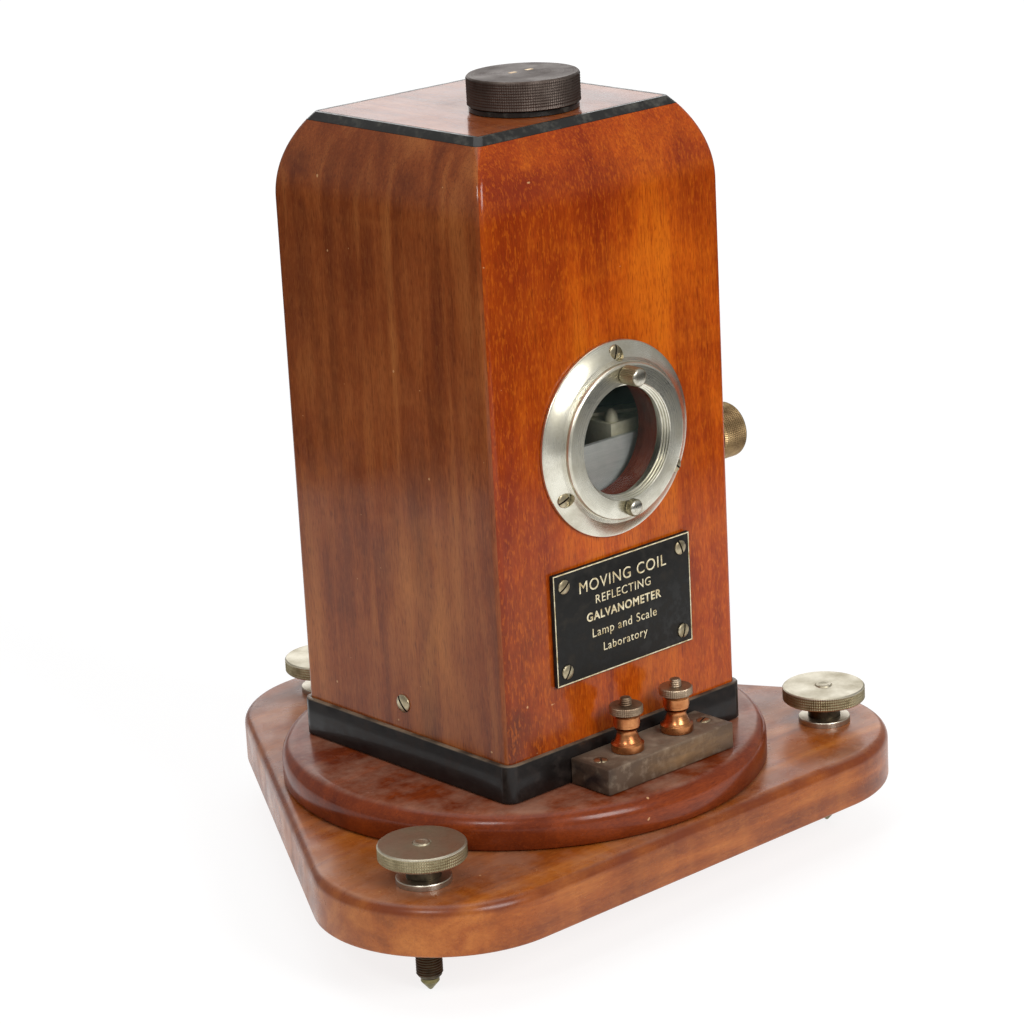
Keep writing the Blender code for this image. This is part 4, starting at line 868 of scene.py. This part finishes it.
gilt = Finish("gilt_filling", "black_enamel", srgb(222, 208, 168), 0.5)
gilt_wear = gilt.noise(gilt.coords, scale=420.0, detail=4.0, roughness=0.6)
gilt.set("Base Color", gilt.ramp(gilt_wear, (0.42, srgb(226, 214, 180)), (0.68, srgb(168, 146, 98))))
silvered = Finish("silvered", "silvered", (0.92, 0.92, 0.92, 1), 0.04, 1.0)
glass = Finish("window_glass", "glass", (0.03, 0.045, 0.04, 1), 0.02, Specular_IOR_Level=1.0, Alpha=0.14)


# ==== screws ====
def screw_head(name, node, place, facing, radius, slot_angle):
    """A slotted round head and its shank."""
    crown = 0.34 * radius
    rim = 0.28 * MM
    shank, end = 0.4 * radius, -6 * MM
    profile = [(0, end), (shank, end), (shank, 0), (radius, 0), (radius, rim)]
    profile += shoulder(0, rim, radius, crown - rim, 6)
    bm = lathe(profile, 48)
    half = 0.13 * radius
    deep = crown - 0.3 * radius
    slot = block((-1.4 * radius, -half, deep), (1.4 * radius, half, 2 * crown + 1 * MM))
    slot.transform(Matrix.Rotation(math.radians(slot_angle), 4, "Z"))
    piece(
        name, bm, screw_metal, [node], place=place, facing=facing,
        cuts=((placed(slot, place, facing), 1),), extra=(slot_dark,), creases=30,
    )


slot_dark = black_finish("screw_slot", "worn_nickel", srgb(34, 28, 22), 0.6, srgb(70, 58, 44), 0.4)


# ==== window ====
SMALL_HEAD = 2.7 * MM
# Each stud on the lens cell: its height from the window's middle, its reach and its radius.
STUDS = (
    ("upper", 24.9 * MM, 15.7 * MM, 3.5 * MM),
    ("lower", -24.3 * MM, 11.4 * MM, 3.2 * MM),
)


def make_window():
    centre = Vector((0, FRONT_FACE, WINDOW_Z))
    rim, land, edge, lip, bore = 1.6 * MM, 4.0 * MM, 36.0 * MM, 28.7 * MM, 24.0 * MM
    back, brow = 0.3 * MM, 5.75 * MM
    fall = (brow - rim) / (edge - 0.8 * MM - lip)
    ridges = []
    for i in range(8):
        away = (1.7 - 0.2 * i) * MM
        ridge = 0.05 * MM if i % 2 else -0.07 * MM
        ridges.append((lip + away, brow - fall * (away - 0.3 * MM) + ridge))
    profile = [
        (bore, back), (edge, back), (edge, rim - 0.35 * MM), (edge - 0.15 * MM, rim - 0.1 * MM),
        (edge - 0.5 * MM, rim), *ridges, (lip + 0.3 * MM, brow), (lip + 0.1 * MM, 5.8 * MM),
        (lip, brow), (lip, land), (bore, land),
    ]
    bm = lathe(profile, 192, closed=True)
    circle = 32.3 * MM
    seat = rim + fall * (edge - 0.5 * MM - circle) - 1.05 * MM
    cuts = []
    places = []
    for direction in (90, 210, 330):
        a = math.radians(direction)
        spot = centre + Vector((circle * math.cos(a), 0, circle * math.sin(a)))
        cuts.append((placed(cylinder(3.0 * MM, seat, 8 * MM), spot, "front"), 0))
        places.append(spot)
    front = {"place": centre, "facing": "front"}
    piece("bezel", bm, bezel_metal, ["window_bezel"], cuts=cuts, creases=25, **front)
    for number, (spot, slot_angle) in enumerate(zip(places, (80, 20, 140)), start=1):
        place = spot - Vector((0, seat, 0))
        name = "bezel_screw_head_%d" % number
        screw_head(name, "bezel_screw_%d" % number, place, "front", SMALL_HEAD, slot_angle)
    cell = in_mm(
        (20.0, 3.2), (20.0, 4.6), (20.5, 4.75), (20.5, 5.5), (21.0, 5.65), (21.0, 6.5), (21.4, 6.65),
        (21.4, 7.35), (21.65, 7.6), (27.5, 7.6), (27.95, 7.5), (28.35, 7.25), (28.6, 6.9), (28.68, 6.5),
        (28.68, 4.3), (23.65, 4.3), (23.65, 0.6), (21.5, 0.6), (21.5, 3.2),
    )
    piece("cell", lathe(cell, 192, closed=True), bezel_metal, ["lens_cell"], creases=22, **front)
    lens = in_mm((0, 0.9), (21.2, 0.9), (21.2, 2.5), (0, 2.9))
    piece("lens", lathe(lens, 128), glass, ["window_lens"], creases=50, **front)
    for label, up, end, radius in STUDS:
        foot = 7.9 * MM
        dome, rim = 0.7 * MM, radius - 0.25 * MM
        steps = 72
        low, high, top = foot + 0.3 * MM, end - dome - 0.3 * MM, end - dome
        profile = [(0, foot), (radius - 0.4 * MM, foot)] + flank(radius, low, high, 1)
        profile += [(rim, top), (0, top)]
        bm = knurled(lathe(profile, steps), radius, low, high, 1, steps, 0.3 * MM, straight=True)
        nodes = ["cell_stud_" + label]
        front["place"] = centre + Vector((0, 0, up))
        piece("stud_" + label, bm, stud_side, nodes, creases=15, **front)
        face_rim = rim - 0.15 * MM
        face = [(0, high), (face_rim, high), (face_rim, top)]
        face += shoulder(0, top, face_rim, dome, 6)
        piece("stud_end_" + label, lathe(face, 48), dome_metal, nodes, **front)


# ==== name plate ====
# Each line: its words, letter size, height above the plate's middle and boldness, in mm.
PLATE_LINES = (
    ("MOVING COIL", 4.6, 13.2, 0.0),
    ("REFLECTING", 3.4, 7.2, 0.0),
    ("GALVANOMETER", 3.3, 1.2, 0.10),
    ("Lamp and Scale", 3.5, -5.2, 0.0),
    ("Laboratory", 3.3, -11.6, 0.0),
)


def make_name_plate():
    low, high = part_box("name_plate")
    centre = (low + high) / 2
    bm = soften(block(low, high), 0.25 * MM, 2)
    piece("plate", bm, enamel, ["name_plate"])
    half_x, half_z = (high.x - low.x) / 2, (high.z - low.z) / 2
    width, inset = 0.42 * MM, 0.25 * MM
    tall, wide = half_z - inset, half_x - inset
    rails = []
    for sign in (-1, 1):
        x = sign * (half_x - inset - width / 2)
        z = sign * (half_z - inset - width / 2)
        rails.append(((x - width / 2, -tall), (x + width / 2, tall)))
        rails.append(((-wide + width, z - width / 2), (wide - width, z + width / 2)))
    proud = 0.04 * MM
    bars = [
        block((x0, low.y - proud, centre.z + z0), (x1, low.y + 0.1 * MM, centre.z + z1))
        for (x0, z0), (x1, z1) in rails
    ]
    piece("plate_border", joined(*bars), gilt, ["name_plate"])
    letters = bmesh.new()
    for words, size, height, bold in PLATE_LINES:
        curve = bpy.data.curves.new("line", "FONT")
        curve.body = words
        curve.size = size * MM * 1.35
        curve.align_x = "CENTER"
        curve.align_y = "CENTER"
        curve.extrude = 0.06 * MM
        curve.offset = bold * MM
        curve.space_character = 1.12
        text = put("line", curve)
        mesh = evaluated(text)
        place = Vector((centre.x, low.y, centre.z + height * MM))
        mesh.transform(Matrix.Translation(place) @ FACING["front"])
        letters.from_mesh(mesh)
        bpy.data.objects.remove(text)
        bpy.data.meshes.remove(mesh)
    piece("plate_lettering", letters, gilt, ["name_plate"])
    screw_inset = 5.1 * MM
    half_x -= screw_inset
    half_z -= screw_inset
    corners = ((-1, 1, 35), (1, 1, 110), (1, -1, 75), (-1, -1, 60))
    for number, (sx, sz, slot_angle) in enumerate(corners, start=1):
        place = Vector((centre.x + sx * half_x, low.y - 0.1 * MM, centre.z + sz * half_z))
        name = "plate_screw_%d" % number
        screw_head(name, "name_plate_screw_%d" % number, place, "front", SMALL_HEAD, slot_angle)


# ==== terminals ====
def make_terminals():
    low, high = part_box("terminal_block")
    bm = soften(block(low, high), 0.5 * MM, 3)
    piece("ebonite_block", bm, ebonite, ["terminal_block"])
    for label, slot_angle in (("left", 55), ("right", 20)):
        node = "block_screw_" + label
        at = middle(node)
        place = Vector((at.x, at.y, high.z - 0.3 * MM))
        screw_head("block_screw_head_" + label, node, place, "up", SMALL_HEAD, slot_angle)
    for label in ("left", "right"):
        at = middle("terminal_post_" + label)
        place = (at.x, at.y, high.z)
        post_metal = turned_metal(
            "post_copper_" + label, "copper", COPPER, COPPER_DULL, place, roughness=0.26,
        )
        nut_metal = turned_metal(
            "nut_bronze_" + label, "bronze", srgb(184, 164, 140), srgb(120, 98, 78), place,
            roughness=0.42,
        )
        nodes = ["terminal_post_" + label]
        post = in_mm(
            (0, -6), (2.0, -6), (2.0, 0.15), (5.9, 0.15), (6.1, 0.4), (6.1, 2.9), (5.9, 3.1), (5.4, 3.3),
            (4.9, 3.9), (4.4, 4.9), (3.9, 6.2), (3.6, 7.3), (3.7, 8.0), (4.3, 8.5), (4.4, 8.7), (0, 8.7),
        )
        piece("post_" + label, lathe(post), post_metal, nodes, place=place)
        stud = lathe(in_mm((0, 8.5), (2.0, 8.5), (2.0, 20.0), (1.7, 20.4), (0, 20.5)), 64)
        winding = thread(2.25 * MM, 0.25 * MM, 0.8 * MM, 8.8 * MM, 20.3 * MM)
        piece("post_stud_" + label, joined(stud, winding), nut_metal, nodes, place=place)
        collar = in_mm(
            (2.35, 9.2), (4.5, 9.2), (4.7, 9.4), (4.7, 10.2), (4.95, 10.4), (4.95, 13.2), (4.7, 13.5),
            (4.4, 13.8), (4.2, 14.2), (2.35, 14.2),
        )
        nodes = ["terminal_collar_" + label]
        piece("collar_" + label, lathe(collar, closed=True), post_metal, nodes, place=place)
        steps, rows = 110, 6
        radius, nut_low, nut_high = 6.25 * MM, 14.8 * MM, 17.1 * MM
        nut = in_mm((2.35, 14.5), (5.9, 14.5)) + flank(radius, nut_low, nut_high, rows)
        nut += in_mm((5.9, 17.5), (2.35, 17.5))
        bm = knurled(lathe(nut, steps, closed=True), radius, nut_low, nut_high, rows, steps, 0.2 * MM)
        piece("nut_" + label, bm, nut_metal, ["terminal_nut_" + label], place=place, creases=15)


# ==== torsion head ====
def make_torsion_head():
    low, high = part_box("torsion_head")
    at = middle("torsion_head")
    ring_low, ring_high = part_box("torsion_collar")
    radius = (ring_high.x - ring_low.x) / 2
    bore, neck, rounding = 3.35 * MM, 5.6 * MM, 0.25 * MM
    seat = CASE_TOP + 0.3 * MM
    ring = [
        (bore, ring_low.z), (neck, ring_low.z), (neck, seat), (radius, seat),
        (radius, ring_high.z - rounding), (radius - rounding, ring_high.z), (bore, ring_high.z),
    ]
    place = (at.x, at.y, 0)
    piece("ebonite_ring", lathe(ring, 128, closed=True), edging_black, ["torsion_collar"], place=place)
    head_metal = turned_metal(
        "head_bronze", "bronze", BRONZE, BRONZE_DULL, place, roughness=0.45, lines=0.3, fine=3800.0,
    )
    head_low = high.z - 10.6 * MM
    outer = 20.5 * MM
    steps, rows = 300, 18
    knurl_low, knurl_high = head_low + 0.7 * MM, high.z - 1.0 * MM
    profile = [
        (0, low.z), (2 * MM, low.z), (2 * MM, low.z + 4 * MM), (3 * MM, low.z + 4 * MM), (3 * MM, head_low),
        (outer - 0.3 * MM, head_low), (outer, head_low + 0.3 * MM),
    ]
    profile += flank(outer, knurl_low, knurl_high, rows)
    profile += [(outer - 0.2 * MM, high.z - 0.45 * MM), (outer - 0.7 * MM, high.z), (0, high.z)]
    bm = knurled(lathe(profile, steps), outer, knurl_low, knurl_high, rows, steps, 0.17 * MM)
    piece("head", bm, head_metal, ["torsion_head"], place=place, creases=15)
    bright = plain_metal("rubbed_spots", "bronze", srgb(236, 206, 150), srgb(190, 150, 96), 0.3)
    half, sunk, proud = Vector((1.5 * MM, 0.9 * MM)), 0.3 * MM, 0.05 * MM
    marks = []
    for away in ((-2.5, 2.5), (5.0, 2.0)):
        spot = at.xy + Vector(away) * MM
        mark_low, mark_high = spot - half, spot + half
        marks.append(block((*mark_low, high.z - sunk), (*mark_high, high.z + proud)))
    piece("head_marks", joined(*marks), bright, ["torsion_head"])


# ==== arrest knob ====
def make_arrest():
    bush = middle("arrest_bush")
    place = (0, bush.y, bush.z)
    knob_metal = turned_metal(
        "knob_bronze", "bronze", srgb(170, 144, 104), srgb(104, 82, 56), place, "x", roughness=0.4,
    )
    collar_metal = turned_metal("bush_nickel", "nickel", NICKEL, NICKEL_DULL, place, "x", roughness=0.3)
    face = HALF_WIDTH
    ring = in_mm(
        (3.35, -9.5), (4.6, -9.5), (4.6, 0.2), (7, 0.2), (7, 1.6), (6.6, 2.1), (3.35, 2.1), above=face,
    )
    ring = lathe(ring, closed=True)
    piece("arrest_bushing", ring, collar_metal, ["arrest_bush"], place=place, facing="right")
    low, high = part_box("arrest_knob")
    radius = (high.y - low.y) / 2
    knob_low = high.x - 12 * MM
    knurl_low, knurl_high = knob_low + 1.0 * MM, high.x - 1.3 * MM
    steps, rows = 170, 20
    cam = low.x
    profile = [(0, cam), (3 * MM, cam), (3 * MM, face + 2.4 * MM), (6.2 * MM, face + 2.4 * MM)]
    profile += [(6.4 * MM, face + 2.6 * MM), (6.4 * MM, knob_low), (radius - 0.6 * MM, knob_low)]
    profile += flank(radius, knurl_low, knurl_high, rows)
    profile += [(radius - 0.35 * MM, high.x - 0.7 * MM), (radius - 1.2 * MM, high.x), (0, high.x)]
    bm = knurled(lathe(profile, steps), radius, knurl_low, knurl_high, rows, steps, 0.3 * MM)
    disc = in_mm((0, 0), (3.8, 0), (4, 0.2), (4, 3.8), (3.8, 4), (0, 4), above=cam)
    off_centre = 1.0 * MM
    bm = joined(bm, placed(lathe(disc, 64), (off_centre, 0, 0)))
    piece("knob", bm, knob_metal, ["arrest_knob"], place=place, facing="right", creases=15)


# ==== levelling screws ====
def make_levelling():
    for label in LEVELLERS:
        screw = ["levelling_screw_" + label]
        at = middle(screw[0])
        place = (at.x, at.y, 0)
        low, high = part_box(screw[0])
        head_metal = turned_metal(
            "disc_nickel_" + label, "worn_nickel", CHAMPAGNE, CHAMPAGNE_DULL, place,
            roughness=0.36, spread=0.6,
        )
        flange_metal = turned_metal(
            "flange_nickel_" + label, "nickel", srgb(216, 208, 192), srgb(166, 156, 136), place,
            roughness=0.32,
        )
        bore = 5.2
        bush = [(bore * MM, BASE_BOTTOM), (7.1 * MM, BASE_BOTTOM)]
        bush += in_mm(
            (7.1, 0.1), (10, 0.1), (10, 1.9), (9.8, 2.2), (9.3, 2.3), (7.0, 2.3), (bore, 2.3),
            above=BASE_TOP,
        )
        nodes = ["levelling_bush_" + label]
        piece("bush_" + label, lathe(bush, closed=True), flange_metal, nodes, place=place)
        boss = in_mm(
            (bore, 2.35), (6.3, 2.35), (6.1, 5.6), (5.8, 6.0), (bore, 6.0), above=BASE_TOP,
        )
        piece("bush_boss_" + label, lathe(boss, closed=True), spindle_metal, nodes, place=place)
        radius = 16.0 * MM
        head_low = high.z - 5.5 * MM
        knurl_low, knurl_high = head_low + 0.6 * MM, high.z - 0.7 * MM
        steps, rows = 220, 8
        head = [(0, head_low), (radius - 0.6 * MM, head_low)]
        head += flank(radius, knurl_low, knurl_high, rows)
        head += [(radius - 0.2 * MM, high.z - 0.35 * MM), (radius - 0.6 * MM, high.z)]
        head += in_mm(
            (3.5, 0), (3.3, -0.25), (3.1, -0.1), (2.9, 0.35), (2.2, 0.5), (1.5, 0.3), (0, 0.15),
            above=high.z,
        )
        bm = knurled(lathe(head, steps), radius, knurl_low, knurl_high, rows, steps, 0.3 * MM)
        for face in bm.faces:
            spot = face.calc_center_median()
            outer = spot.xy.length > 0.9 * radius
            if outer and knurl_low - 0.2 * MM < spot.z < knurl_high + 0.1 * MM:
                face.material_index = 1
        piece(
            "level_head_" + label, bm, head_metal, screw, place=place, extra=(knurl_metal,), creases=15,
        )
        core, socket = 4.4 * MM, 2.1 * MM
        deep, top = low.z + 6.1 * MM, head_low + 0.05 * MM
        shank = lathe([
            (0, deep), (socket, deep), (socket, low.z), (core - 0.5 * MM, low.z),
            (core, low.z + 0.6 * MM), (core, top), (0, top),
        ], 64)
        winding = thread(4.85 * MM, 0.45 * MM, 1.0 * MM, low.z + 0.4 * MM, head_low + 0.9 * MM)
        spindle = joined(shank, winding)
        piece("level_spindle_" + label, spindle, spindle_metal, screw, place=place)
        tip = in_mm(
            (0, 0), (0.45, 0.05), (0.8, 0.35), (3.2, 3.2), (3.4, 3.5), (3.4, 4.8), (3.2, 5.0),
            (1.8, 5.0), (1.8, 11.0), (0, 11.0),
        )
        nodes = ["levelling_foot_" + label]
        piece("foot_tip_" + label, lathe(tip, 64), tip_metal, nodes, place=place)


# ==== movement ====
def make_movement():
    low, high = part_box("clamp_block")
    dome_height, dome_radius, corner = 4.8 * MM, 2.6 * MM, 3.4 * MM
    top = high.z - dome_height
    sunk = top - 0.5 * MM
    bm = soften(block(low, (high.x, high.y, top)), 0.3 * MM, 2)
    dome = [(0, sunk), (dome_radius, sunk)]
    dome += shoulder(0, top, dome_radius, dome_height, 9, start=0)
    cap = placed(lathe(dome, 64), (low.x + corner, low.y + corner, 0))
    piece("clamp_body", joined(bm, cap), clamp_metal, ["clamp_block"])
    repaint(plate_metal, "front_plate")
    repaint(iron_metal, "left_pole", "right_pole", "magnet_bar", "iron_core")
    repaint(inner_brass, "movement_bracket", "upper_suspension", "lower_suspension")
    repaint(winding_metal, "moving_coil")
    repaint(clamp_metal, "clamp_fork")
    low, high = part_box("mirror")
    radius = (high.x - low.x) / 2
    at = middle("mirror")
    bevel, thick = 0.2 * MM, 1.0 * MM
    disc = [(0, 0), (radius, 0), (radius, thick - bevel), (radius - bevel, thick), (0, thick)]
    place = (at.x, high.y, at.z)
    piece("mirror_disc", lathe(disc, 64), silvered, ["mirror"], place=place, facing="front")


winding_metal = plain_metal(
    "coil_wire", "copper", srgb(206, 126, 74), srgb(120, 62, 36), 0.35, (60, 60, 5200),
)


# ==== case screws ====
def make_case_screws():
    at = middle("case_screw_left")
    for side, sign, slot_angle in (("left", -1, 40), ("right", 1, 70)):
        place = Vector((sign * HALF_WIDTH, at.y, at.z))
        screw_head("case_screw_head_" + side, "case_screw_" + side, place, side, 3.5 * MM, slot_angle)


make_window()
make_name_plate()
make_terminals()
make_torsion_head()
make_arrest()
make_levelling()
make_movement()
make_case_screws()
